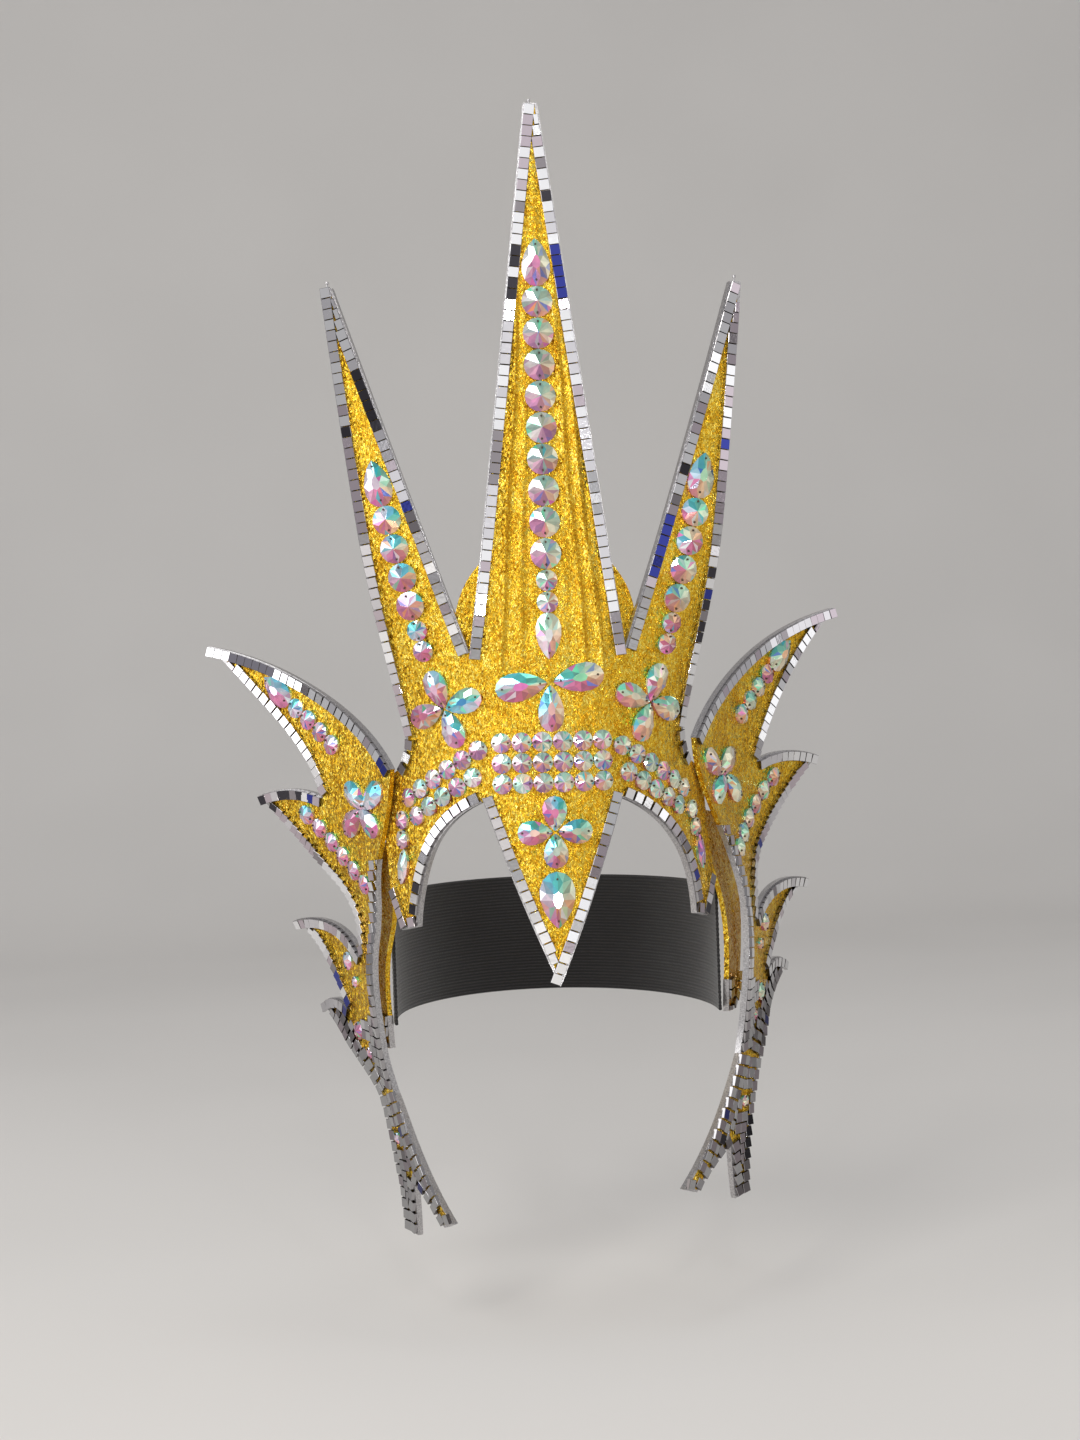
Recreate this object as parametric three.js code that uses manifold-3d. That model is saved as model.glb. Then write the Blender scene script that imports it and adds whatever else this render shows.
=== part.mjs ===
// Spiked crown headdress: bent gold panels, mirror-tile edging and sew-on stones.
// Millimetres, +Z up, front towards -Y.
// The origin is the middle of the head, level with the band's lower edge.
// Left and right are as seen from the front, so left is -X.

import * as THREE from 'three';
import Module from 'manifold-3d';

const wasm = await Module();
wasm.setup();

// Driving dimensions
const HEAD_RADIUS = 80;      // the band's inner face at the brow
const SHEET = 2.5;           // thickness of a covered panel
const GAP = 0.6;             // clearance between layers
const TILE = 4.8;            // width of the mirror edging
const TILE_THICK = 1.2;
const TILE_INSET = 0.3;      // from the panel's edge to the edging
const FUSE = 0.6;            // how far neighbouring stones of a string run into each other
const STONE_HEIGHT = 3.2;
const HUB_HEIGHT = 1.8;
const HUB_TURN = 9;          // so that no hub corner meets a drop's corner
const TABLE_SHARE = 0.5;     // the flat top of a stone, as a share of its width

// How the front panels bend: round the head at the band, flatter up the spikes
const BEND = { low: 12, high: 130, top: 0.3, last: 0.95 };
// How far the lower edges sit askew, towards +X: the shift grows from one height or place to another
const ASKEW = { band: 6, wing: 6 };
const BAND_ASKEW = { high: 5, low: -45, near: 20, far: 55 };
const WING_ASKEW = { high: 15, low: -60 };
// The wings' lofting stations: a point on the stem's front edge and the way the sheet faces there
const STATIONS = [
  { v: 90, x: 68, y: -44, face: 56 },
  { v: 15, x: 68, y: -44, face: 56 },
  { v: -40, x: 84, y: -24, face: 64 },
  { v: -75, x: 91, y: -13, face: 68 },
  { v: -115, x: 88, y: -14, face: 66 },
  { v: -150, x: 80, y: -20, face: 58 },
  { v: -205, x: 69, y: -28, face: 48 },
];
const WING_FLARE = 300;      // radius of the wings' outward curl
const WING_LIFT = 5;         // the right wing sits higher than the left one by twice this
const WING_OFF = 0.7;        // extra clearance of the wings over the band's ends
const STRAP = { wide: 81.2, deep: 112, thick: 1.6, low: -110, high: -48, from: -5, steps: 28 };

// How each side hangs: the wing's inset towards the band, how narrow its lower flames are, how far its
// stem is tucked in and its tail further still, how many degrees the tail is twisted outwards, and how far
// the tab leans in towards the head, from the least under the band's end to the most further down
const NARROW = { high: 70, low: 15 };
const TUCK = { high: -20, low: -60 };
const TWIST = { high: -112, low: -142 };
const SIDES = [
  { name: 'left', side: -1, inset: 0, narrow: 0.88, tuck: 4.5, tail: 2, twist: 11,
    lean: { least: 0.8, most: 1.85, high: -20, low: -60 } },
  { name: 'right', side: 1, inset: 1.1, narrow: 1, tuck: 0, tail: 0, twist: -8,
    lean: { least: 2.6, most: 4.8, high: -8, low: -32 } },
];

// Layers over the head, as offsets along the sheet's normal
const BAND_TOP = SHEET;
const BLADE_LOW = BAND_TOP + GAP;
const BLADE_TOP = BLADE_LOW + SHEET;
const PLATE_TOP = -GAP;
const WING_LOW = BAND_TOP + WING_OFF;
const WING_TOP = WING_LOW + SHEET;
const TAB_TOP = -GAP;

// How finely bends are cut into flat faces
const TOLERANCE = 0.4;       // between a face's edge and the true bend
const GRAIN = 1.8;           // faces may run this much longer upwards than along
const LONGEST = 60;          // of the pieces that an outline's edge is cut into
const ROUNDING = 1e-9;       // below this, four corners lie on one circle

// Outlines run clockwise as seen from outside. Each row ends an edge, and bow is how far
// that edge bulges out, or below zero in, as an arc. The front ones are right halves.
const BLADE = [
  { end: 'apex', u: 3, v: 319, bow: 0 },
  { end: 'shoulder', u: 35, v: 66, bow: 0 },
  { end: 'neck top', u: 26, v: 58, bow: 0 },
  { end: 'neck foot', u: 26, v: 8, bow: 0 },
  { end: 'brow', u: 31, v: 2, bow: 0 },
  { end: 'peak tip', u: 0, v: -85, bow: 1 },
];
const BAND = [
  { end: 'valley', u: 36, v: 69, bow: 0 },
  { end: 'spike inner', u: 94.5, v: 240, bow: 0 },
  { end: 'spike outer', u: 100, v: 240, bow: 0 },
  { end: 'waist', u: 72, v: 31, bow: 1 },
  { end: 'notch', u: 80, v: 16, bow: -1.5 },
  { end: 'lap top', u: 94, v: 10, bow: 0 },
  { end: 'lap foot', u: 96, v: -42, bow: 0 },
  { end: 'temple outer', u: 87, v: -60, bow: 0 },
  { end: 'temple inner', u: 76, v: -58, bow: 0 },
  { end: 'brow', u: 32.5, v: 0, bow: -10.5 },
];
// Closes the band's right half down the middle
const BAND_MIDDLE = [
  { end: 'middle foot', u: 0, v: 0, bow: 0 },
  { end: 'middle top', u: 0, v: 69, bow: 0 },
];
const PLATE = [
  { end: 'left foot', u: -43, v: 30, bow: 0 },
  { end: 'left spring', u: -43, v: 79, bow: 0 },
  { end: 'right spring', u: 43, v: 79, bow: 43 },
  { end: 'right foot', u: 43, v: 30, bow: 0 },
];
const WING = [
  { end: 'root', u: 3, v: 21, bow: 0 },
  { end: 'first flame', u: 127, v: 85, bow: 10 },
  { end: 'first notch', u: 61, v: 8, bow: -5 },
  { end: 'second flame', u: 110, v: 9, bow: 3.5 },
  { end: 'belly', u: 42, v: -35, bow: 1.5 },
  { end: 'second notch', u: 14, v: -71, bow: -4.3 },
  { end: 'third flame', u: 89, v: -56, bow: 7.5 },
  { end: 'third notch', u: 32, v: -98, bow: -5.6 },
  { end: 'fourth flame', u: 63, v: -98, bow: 4 },
  { end: 'stem back', u: 22, v: -140, bow: -6 },
  { end: 'rear tail', u: 22, v: -203, bow: -3 },
  { end: 'rear tail foot', u: 13, v: -205, bow: 0 },
  { end: 'fork', u: 4, v: -178, bow: 0 },
  { end: 'front tail foot', u: -18, v: -197, bow: -2 },
  { end: 'front tail', u: -28, v: -194, bow: 0 },
  { end: 'stem front', u: 0, v: -135, bow: -4 },
  { end: 'stem top', u: 0, v: -53, bow: 4 },
];
const TAB = [
  { end: 'front top', u: -5, v: -12, bow: 0 },
  { end: 'back top', u: 32, v: -18, bow: 0 },
  { end: 'back foot', u: 24, v: -98, bow: 0 },
  { end: 'tip back', u: 13, v: -116, bow: 3 },
  { end: 'tip front', u: 7, v: -116, bow: 0 },
  { end: 'front foot', u: 3, v: -100, bow: 0 },
];

// Stone sizes: width across and length
const FACETS = 8;
const DROP_FULLEST = 0.77;   // the widest place of a drop's outline, before it is scaled to its width
const MARQUISE_ROUND = 0.4;  // how soon a marquise's pointed ends widen
const CUT = {
  large: { shape: 'round', wide: 15, long: 15 },
  spike: { shape: 'round', wide: 14.2, long: 14.2 },
  middle: { shape: 'round', wide: 10.6, long: 10.6 },
  arch: { shape: 'round', wide: 9.2, long: 9.8 },
  small: { shape: 'round', wide: 9, long: 10 },
  drop: { shape: 'drop', wide: 12, long: 22 },
  crown_drop: { shape: 'drop', wide: 13.2, long: 22.5 },
  peak_drop: { shape: 'drop', wide: 16, long: 25 },
  short_drop: { shape: 'drop', wide: 10, long: 14 },
  petal: { shape: 'drop', wide: 10.5, long: 17 },
  marquise: { shape: 'marquise', wide: 7.5, long: 17 },
  hub: { shape: 'round', wide: 7.2, long: 7.2 },
};

// Surfaces: a pattern point (along, up) and an offset along the normal give a point on the head

const smooth = (from, to, x) => THREE.MathUtils.smoothstep((x - from) / (to - from), 0, 1);
const lerp = THREE.MathUtils.lerp;
const radians = THREE.MathUtils.degToRad;

function frontSurface(u, v, off) {
  const { high, low, near, far } = BAND_ASKEW;
  const fade = smooth(high, low, v) * smooth(near, far, Math.abs(u));
  const along = u + ASKEW.band * fade;
  const radius = HEAD_RADIUS / lerp(1, BEND.top, smooth(BEND.low, BEND.high, v));
  const turn = THREE.MathUtils.clamp(along / radius, -BEND.last, BEND.last);
  const straight = along - turn * radius;
  const x = radius * Math.sin(turn) + straight * Math.cos(turn);
  const y = radius * (1 - Math.cos(turn)) + straight * Math.sin(turn) - HEAD_RADIUS;
  return new THREE.Vector3(x + off * Math.sin(turn), y - off * Math.cos(turn), v);
}

// A smooth curve through one column of the stations
function stationAt(v, column) {
  const height = THREE.MathUtils.clamp(v, STATIONS.at(-1).v, STATIONS[0].v);
  const next = Math.max(1, STATIONS.findIndex((station) => station.v <= height));
  const slope = (i) => {
    const before = STATIONS[Math.max(0, i - 1)];
    const after = STATIONS[Math.min(STATIONS.length - 1, i + 1)];
    return (after[column] - before[column]) / (after.v - before.v);
  };
  const [above, below] = [STATIONS[next - 1], STATIONS[next]];
  const span = below.v - above.v;
  const t = (height - above.v) / span;
  const ease = t * t * (3 - 2 * t);
  const lean = t * (1 - t) * ((1 - t) * slope(next - 1) - t * slope(next));
  return lerp(above[column], below[column], ease) + span * lean;
}

function wingSurface({ side, inset, narrow, tuck, tail, twist }) {
  return (u, v, distance) => {
    const lower = smooth(TWIST.high, TWIST.low, v);
    const off = distance - inset;
    const along = u * lerp(1, narrow, smooth(NARROW.high, NARROW.low, v));
    const x = stationAt(v, 'x') - tuck * smooth(TUCK.high, TUCK.low, v) - tail * lower;
    const y = stationAt(v, 'y');
    const face = radians(stationAt(v, 'face') + twist * lower);
    const turn = face - Math.max(0, along) / WING_FLARE;
    const curl = along > 0 ? WING_FLARE : 0;
    const back = Math.min(0, along);
    const out = x + curl * (Math.sin(face) - Math.sin(turn)) + back * Math.cos(face) + off * Math.sin(turn);
    const deep = y + curl * (Math.cos(turn) - Math.cos(face)) + back * Math.sin(face) - off * Math.cos(turn);
    const skew = ASKEW.wing * smooth(WING_ASKEW.high, WING_ASKEW.low, v);
    return new THREE.Vector3(side * out + skew, deep, v + side * WING_LIFT);
  };
}

function tabSurface(wing, { least, most, high, low }) {
  return (u, v, off) => wing(u, v, off - lerp(least, most, smooth(high, low, v)));
}

// Outlines

// The arc of an outline's edge, cut into as many equal chords as the count says
function arc(from, to, count) {
  const start = new THREE.Vector2(from.u, from.v);
  const along = new THREE.Vector2(to.u, to.v).sub(start);
  const out = new THREE.Vector2(-along.y, along.x);
  const sweep = 4 * Math.atan((2 * to.bow) / along.length());
  return Array.from({ length: count + 1 }, (_, i) => {
    const angle = sweep * (i / count - 0.5);
    const flat = Math.abs(sweep) < 1e-6;
    const share = flat ? i / count : 0.5 + Math.sin(angle) / (2 * Math.sin(sweep / 2));
    const rise = flat ? 0 : (Math.cos(angle) - Math.cos(sweep / 2)) / (2 * Math.sin(sweep / 2));
    return start.clone().addScaledVector(along, share).addScaledVector(out, rise);
  });
}

// How far a straight face's edge lies from the true bend at its middle
function bulge(a, b, surface) {
  const middle = a.clone().lerp(b, 0.5);
  const chord = surface(a.x, a.y, 0).lerp(surface(b.x, b.y, 0), 0.5);
  return surface(middle.x, middle.y, 0).distanceTo(chord);
}

// An edge's points, fine enough for the bend and for the edge's own arc
function edgePoints(from, to, surface) {
  const length = Math.hypot(to.u - from.u, to.v - from.v);
  for (let count = 1; ; count += 1) {
    const points = arc(from, to, count);
    const worst = Math.max(...points.slice(1).map((point, i) => bulge(points[i], point, surface)));
    const sag = Math.abs(to.bow) / count ** 2;
    if (worst < TOLERANCE && sag < TOLERANCE * 2 && length / count < LONGEST) return points;
  }
}

// A whole outline from its right half: the left half follows, reversed
function mirrored(right) {
  const left = right.map((row, i) => {
    const bow = right[i + 1]?.bow ?? 0;
    return { end: `left ${row.end}`, u: -row.u, v: row.v, bow };
  });
  return [...right, ...left.reverse().filter((row) => row.u !== 0)];
}

// Meshes are { points, triangles } until they become geometries

function facingOut(mesh) {
  let volume = 0;
  for (const [a, b, c] of mesh.triangles) {
    const across = new THREE.Vector3().crossVectors(mesh.points[b], mesh.points[c]);
    volume += mesh.points[a].dot(across);
  }
  if (volume < 0) mesh.triangles = mesh.triangles.map(([a, b, c]) => [a, c, b]);
  return mesh;
}

// Swaps the diagonals of neighbouring triangles until each triangle's circle is empty
function swapEdges(places, triangles) {
  const inCircle = (a, b, c, d) => {
    const [p, q, r] = [a, b, c].map((i) => places[i].clone().sub(places[d]));
    const sides = p.lengthSq() * q.cross(r) + q.lengthSq() * r.cross(p) + r.lengthSq() * p.cross(q);
    return sides > ROUNDING;
  };
  let swapped = true;
  while (swapped) {
    swapped = false;
    const owners = new Map();
    triangles.forEach((corners, t) => {
      corners.forEach((a, k) => owners.set(`${a},${corners[(k + 1) % 3]}`, t));
    });
    const done = new Set();
    for (let t = 0; t < triangles.length; t += 1) {
      for (let k = 0; k < 3 && !done.has(t); k += 1) {
        const [a, b, c] = [0, 1, 2].map((i) => triangles[t][(k + i) % 3]);
        const other = owners.get(`${b},${a}`);
        if (other === undefined || done.has(other)) continue;
        const d = triangles[other].find((corner) => corner !== a && corner !== b);
        if (!inCircle(a, b, c, d)) continue;
        triangles[t] = [c, a, d];
        triangles[other] = [c, d, b];
        done.add(t).add(other);
        swapped = true;
      }
    }
  }
}

// Splits the edge of each triangle that strays most from the bend, until none strays too far
function refine(pattern, triangles, surface) {
  const scaled = (point) => new THREE.Vector2(point.x * GRAIN, point.y).divideScalar(HEAD_RADIUS);
  const places = pattern.map(scaled);
  const stray = (a, b) => bulge(pattern[a], pattern[b], surface);
  const keyOf = (a, b) => (a < b ? `${a},${b}` : `${b},${a}`);
  for (;;) {
    swapEdges(places, triangles);
    const middles = new Map();
    for (const [a, b, c] of triangles) {
      const [i, j] = [[a, b], [b, c], [c, a]].sort((p, q) => stray(...q) - stray(...p))[0];
      if (stray(i, j) < TOLERANCE || middles.has(keyOf(i, j))) continue;
      pattern.push(pattern[i].clone().lerp(pattern[j], 0.5));
      places.push(scaled(pattern.at(-1)));
      middles.set(keyOf(i, j), pattern.length - 1);
    }
    if (middles.size === 0) return triangles;
    triangles = triangles.flatMap((corners) => splitTriangle(corners, (a, b) => middles.get(keyOf(a, b))));
  }
}

// Cuts a triangle at the middles of those of its edges that have one
function splitTriangle(corners, middleOf) {
  const start = [0, 1, 2].find((i) => middleOf(corners[i], corners[(i + 1) % 3]) !== undefined);
  if (start === undefined) return [corners];
  const [a, b, c] = [0, 1, 2].map((i) => corners[(start + i) % 3]);
  const middle = middleOf(a, b);
  return [...splitTriangle([a, middle, c], middleOf), ...splitTriangle([middle, b, c], middleOf)];
}

// A bent sheet: its outline on a surface, from a low offset to a high one
function sheet(rows, surface, low, high) {
  const pattern = rows.flatMap((row, i) => edgePoints(rows.at(i - 1), row, surface).slice(1)).reverse();
  const faces = refine(pattern, THREE.ShapeUtils.triangulateShape(pattern, []), surface);
  const count = pattern.length;
  const outside = pattern.map((point) => surface(point.x, point.y, high));
  const inside = pattern.map((point) => surface(point.x, point.y, low));
  const triangles = faces.flatMap(([a, b, c]) => [[a, b, c], [a + count, c + count, b + count]]);
  const edges = new Set(faces.flatMap(([a, b, c]) => [`${a},${b}`, `${b},${c}`, `${c},${a}`]));
  for (const edge of edges) {
    const [a, b] = edge.split(',').map(Number);
    if (edges.has(`${b},${a}`)) continue;
    triangles.push([a, a + count, b], [b, a + count, b + count]);
  }
  return facingOut({ points: [...outside, ...inside], triangles });
}

// A flat bar along a path on a surface
function strip(path, surface, width, low, high) {
  const points = [];
  const triangles = [];
  path.forEach((point, i) => {
    const before = path[Math.max(0, i - 1)];
    const after = path[Math.min(path.length - 1, i + 1)];
    const along = after.clone().sub(before).normalize();
    const [du, dv] = [(-along.y * width) / 2, (along.x * width) / 2];
    points.push(surface(point.x + du, point.y + dv, low), surface(point.x - du, point.y - dv, low));
    points.push(surface(point.x - du, point.y - dv, high), surface(point.x + du, point.y + dv, high));
    if (i === 0) return;
    for (let k = 0; k < 4; k += 1) {
      const [a, b] = [4 * i - 4 + k, 4 * i - 4 + ((k + 1) % 4)];
      triangles.push([a, b, a + 4], [b, b + 4, a + 4]);
    }
  });
  const end = 4 * (path.length - 1);
  triangles.push([0, 2, 1], [0, 3, 2], [end, end + 1, end + 2], [end, end + 2, end + 3]);
  return facingOut({ points, triangles });
}

// A cut stone on its flat back: an outline that slants up to its table. Its point, if any, is turned from +v.
function stone({ shape, wide, long }, { u, v, turn }, surface, low, height = STONE_HEIGHT) {
  const seat = surface(u, v, low);
  const above = surface(u, v, low + height);
  const along = surface(u + wide / 2, v, low).sub(surface(u - wide / 2, v, low)).normalize();
  const up = surface(u, v + wide / 2, low).sub(surface(u, v - wide / 2, low));
  up.addScaledVector(along, -up.dot(along)).normalize();
  const out = new THREE.Vector3().crossVectors(along, up);
  if (seat.dot(out) > above.dot(out)) out.negate();
  const ring = Array.from({ length: FACETS }, (_, i) => {
    const angle = (2 * Math.PI * (i + (shape === 'round' ? 0.5 : 0))) / FACETS;
    const grow = shape === 'round' ? 1 / Math.cos(Math.PI / FACETS) : 1;
    const taper = {
      round: grow,
      drop: Math.sin(angle / 2) / DROP_FULLEST,
      marquise: Math.abs(Math.sin(angle)) ** MARQUISE_ROUND,
    };
    const across = (wide / 2) * Math.sin(angle) * taper[shape];
    return new THREE.Vector2(across, (long / 2) * Math.cos(angle) * grow);
  });
  const centre = new THREE.Vector2();
  const at = (point, share, rise) => {
    const moved = point.clone().multiplyScalar(share).rotateAround(centre, radians(turn));
    const place = seat.clone().addScaledVector(along, moved.x).addScaledVector(up, moved.y);
    return place.addScaledVector(out, rise);
  };
  const base = ring.map((point) => at(point, 1, 0));
  const table = ring.map((point) => at(point, TABLE_SHARE, height));
  const triangles = [];
  for (let i = 0; i < FACETS; i += 1) {
    const j = (i + 1) % FACETS;
    triangles.push([i, j, i + FACETS], [j, j + FACETS, i + FACETS]);
    if (i > 1) triangles.push([0, i, i - 1], [FACETS, FACETS + i - 1, FACETS + i]);
  }
  return facingOut({ points: [...base, ...table], triangles });
}

function toManifold({ points, triangles }) {
  const vertProperties = new Float32Array(points.flatMap((point) => point.toArray()));
  const triVerts = new Uint32Array(triangles.flat());
  return new wasm.Manifold(new wasm.Mesh({ numProp: 3, vertProperties, triVerts }));
}

function fromManifold(body) {
  const mesh = body.getMesh();
  const geometry = new THREE.BufferGeometry();
  geometry.setAttribute('position', new THREE.BufferAttribute(new Float32Array(mesh.vertProperties), 3));
  geometry.setIndex(new THREE.BufferAttribute(new Uint32Array(mesh.triVerts), 1));
  return geometry;
}

const joined = (meshes) => fromManifold(meshes.map(toManifold).reduce((sum, body) => sum.add(body)));

// Edging along the outline from one named place to another, cut to the outline at its points
function edging(rows, from, to, surface, low) {
  const place = (name) => rows.findIndex((row) => row.end === name);
  const turned = [...rows.slice(place(from)), ...rows.slice(0, place(from))];
  const last = turned.findIndex((row) => row.end === to);
  const inset = TILE_INSET + TILE / 2;
  const overrun = (end, inner) => end.clone().add(end.clone().sub(inner).setLength(inset));
  const bars = [];
  for (let i = 1; i <= last; i += 1) {
    const path = edgePoints(turned[i - 1], turned[i], surface);
    const moved = path.map((point, k) => {
      const before = path[Math.max(0, k - 1)];
      const after = path[Math.min(path.length - 1, k + 1)];
      const along = after.clone().sub(before).normalize();
      return point.clone().add(new THREE.Vector2(along.y, -along.x).multiplyScalar(inset));
    });
    if (i > 1) moved[0] = overrun(moved[0], moved[1]);
    if (i < last) moved[moved.length - 1] = overrun(moved.at(-1), moved.at(-2));
    bars.push(strip(moved, surface, TILE, low, low + TILE_THICK));
  }
  const mask = sheet(rows, surface, low - TILE_THICK, low + 2 * TILE_THICK);
  return fromManifold(bars.map(toManifold).reduce((sum, bar) => sum.add(bar)).intersect(toManifold(mask)));
}

// A string of stones set from one place towards another, each running into the one before it,
// with their distances measured on the surface that they lie on.
// A drop at its start points back, and any other drop points on.
function stoneString({ from, towards, cuts }, surface, low) {
  const along = new THREE.Vector2(towards.u - from.u, towards.v - from.v).normalize();
  const onward = THREE.MathUtils.radToDeg(Math.atan2(-along.x, along.y));
  const place = new THREE.Vector2(from.u, from.v);
  const bodies = cuts.map((name, i) => {
    const cut = CUT[name];
    if (i > 0) {
      const step = (CUT[cuts[i - 1]].long + cut.long) / 2 - FUSE;
      const next = place.clone().addScaledVector(along, step);
      const reached = surface(next.x, next.y, low).distanceTo(surface(place.x, place.y, low));
      place.addScaledVector(along, step ** 2 / reached);
    }
    const turn = i === 0 ? onward + 180 : onward;
    return stone(cut, { u: place.x, v: place.y, turn }, surface, low);
  });
  return joined(bodies);
}

const repeat = (name, count) => Array(count).fill(name);

// Drops set round a low hub with their points together: each arm's turn is from straight down
function cross({ centre, cut, turns, reach }, surface, low) {
  const hub = stone(CUT.hub, { ...centre, turn: HUB_TURN }, surface, low, HUB_HEIGHT);
  const drops = turns.map((turn) => {
    const angle = radians(turn);
    const place = { u: centre.u + reach * Math.sin(angle), v: centre.v - reach * Math.cos(angle), turn };
    return stone(CUT[cut], place, surface, low);
  });
  return joined([hub, ...drops]);
}

// Materials
function material(color, roughness, metalness) {
  return new THREE.MeshStandardMaterial({ color, roughness, metalness });
}
const GOLD = material(0xcd9b19, 0.4, 0.85);
const MIRROR = material(0xd8d8dc, 0.08, 1);
const CRYSTAL = material(0xbfe6dc, 0.06, 0.3);
const BLACK = material(0x141414, 0.8, 0);

const crown = new THREE.Group();

function add(name, shape, finish) {
  let geometry = shape;
  if (!shape.isBufferGeometry) {
    geometry = new THREE.BufferGeometry().setFromPoints(shape.points);
    geometry.setIndex(shape.triangles.flat());
  }
  const mesh = new THREE.Mesh(geometry, finish);
  mesh.name = name;
  crown.add(mesh);
}

// Front panels
const ON_BAND = BAND_TOP + GAP;
const ON_BLADE = BLADE_TOP + GAP;
const ON_WING = WING_TOP + GAP;
const ON_TAB = TAB_TOP + GAP;
const blade = mirrored(BLADE);
add('front_band', sheet(mirrored(BAND), frontSurface, 0, BAND_TOP), GOLD);
add('centre_blade', sheet(blade, frontSurface, BLADE_LOW, BLADE_TOP), GOLD);
add('back_plate', sheet(PLATE, frontSurface, PLATE_TOP - SHEET, PLATE_TOP), GOLD);

// Edging and stones of the blade
add('blade_trim', edging(blade, 'left shoulder', 'shoulder', frontSurface, ON_BLADE), MIRROR);
add('peak_trim', edging(blade, 'brow', 'left brow', frontSurface, ON_BLADE), MIRROR);
const BLADE_COLUMN = {
  from: { u: 0, v: 246 },
  towards: { u: 0, v: 0 },
  cuts: ['crown_drop', ...repeat('large', 9), ...repeat('middle', 2), 'drop'],
};
const BLADE_CROSS = { centre: { u: 0, v: 54 }, cut: 'drop', turns: [0, 98, -83], reach: 12.5 };
const BAND_ROWS = [
  { name: 'upper', v: 27 },
  { name: 'middle', v: 17.6 },
  { name: 'lower', v: 8.2 },
];
const BAND_ROW = { half: 21.75, count: 6 };
const PEAK_CROSS = { centre: { u: 0, v: -14.5 }, cut: 'short_drop', turns: [0, 90, 180, -90], reach: 8.5 };
const PEAK_DROP = { from: { u: 0, v: -45.5 }, towards: { u: 0, v: 0 }, cuts: ['peak_drop'] };
add('blade_column', stoneString(BLADE_COLUMN, frontSurface, ON_BLADE), CRYSTAL);
add('blade_cross', cross(BLADE_CROSS, frontSurface, ON_BLADE), CRYSTAL);
for (const { name, v } of BAND_ROWS) {
  const from = { u: -BAND_ROW.half, v };
  const stones = { from, towards: { u: BAND_ROW.half, v }, cuts: repeat('small', BAND_ROW.count) };
  add(`band_row_${name}`, stoneString(stones, frontSurface, ON_BLADE), CRYSTAL);
}
add('peak_cross', cross(PEAK_CROSS, frontSurface, ON_BLADE), CRYSTAL);
add('peak_drop', stoneString(PEAK_DROP, frontSurface, ON_BLADE), CRYSTAL);

// Stones of one side, with pattern places as on the right
const SPIKE_COLUMN = {
  from: { u: 75.5, v: 148.3 },
  towards: { u: 57, v: 68.3 },
  cuts: ['crown_drop', ...repeat('spike', 4), ...repeat('middle', 2)],
};
const SPIKE_CROSS = { centre: { u: 48.5, v: 43.5 }, cut: 'petal', turns: [160, 75, -20, -108], reach: 9.3 };
const ARCH_ROWS = [
  { name: 'upper', from: { u: 33, v: 24 }, towards: { u: 78, v: -0.5 }, cuts: repeat('arch', 6) },
  { name: 'lower', from: { u: 36, v: 11.5 }, towards: { u: 81, v: -13 }, cuts: repeat('arch', 5) },
];
const TEMPLE_STONES = {
  from: { u: 79, v: -8 },
  towards: { u: 84, v: -35 },
  cuts: [...repeat('arch', 2), 'marquise'],
};
const WING_COLUMN = {
  from: { u: 84, v: 61 },
  towards: { u: 43, v: 26 },
  cuts: ['drop', ...repeat('middle', 4)],
};
const WING_CROSS = { centre: { u: 24, v: 2 }, cut: 'petal', turns: [130, 50, -50, -130], reach: 8.9 };
const FLAME_STONES = { from: { u: 72, v: -0.8 }, towards: { u: 26, v: -27 }, cuts: repeat('middle', 6) };

for (const row of SIDES) {
  const { name, side } = row;
  const front = (u, v, off) => frontSurface(side * u, v, off);
  const wing = wingSurface(row);
  const tab = tabSurface(wing, row.lean);
  const half = [...BAND, ...BAND_MIDDLE];
  add(`${name}_spike_trim`, edging(half, 'valley', 'waist', front, ON_BAND), MIRROR);
  add(`${name}_arch_trim`, edging(half, 'lap foot', 'brow', front, ON_BAND), MIRROR);
  add(`${name}_spike_column`, stoneString(SPIKE_COLUMN, front, ON_BAND), CRYSTAL);
  add(`${name}_spike_cross`, cross(SPIKE_CROSS, front, ON_BAND), CRYSTAL);
  for (const stones of ARCH_ROWS) {
    add(`${name}_arch_${stones.name}`, stoneString(stones, front, ON_BAND), CRYSTAL);
  }
  add(`${name}_temple_stones`, stoneString(TEMPLE_STONES, front, ON_BAND), CRYSTAL);

  add(`${name}_wing`, sheet(WING, wing, WING_LOW, WING_TOP), GOLD);
  add(`${name}_wing_trim`, edging(WING, 'root', 'stem top', wing, ON_WING), MIRROR);
  add(`${name}_wing_column`, stoneString(WING_COLUMN, wing, ON_WING), CRYSTAL);
  add(`${name}_wing_cross`, cross(WING_CROSS, wing, ON_WING), CRYSTAL);
  add(`${name}_flame_stones`, stoneString(FLAME_STONES, wing, ON_WING), CRYSTAL);

  add(`${name}_side_tab`, sheet(TAB, tab, TAB_TOP - SHEET, TAB_TOP), GOLD);
  add(`${name}_tab_trim`, edging(TAB, 'back foot', 'front foot', tab, ON_TAB), MIRROR);
}

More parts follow.
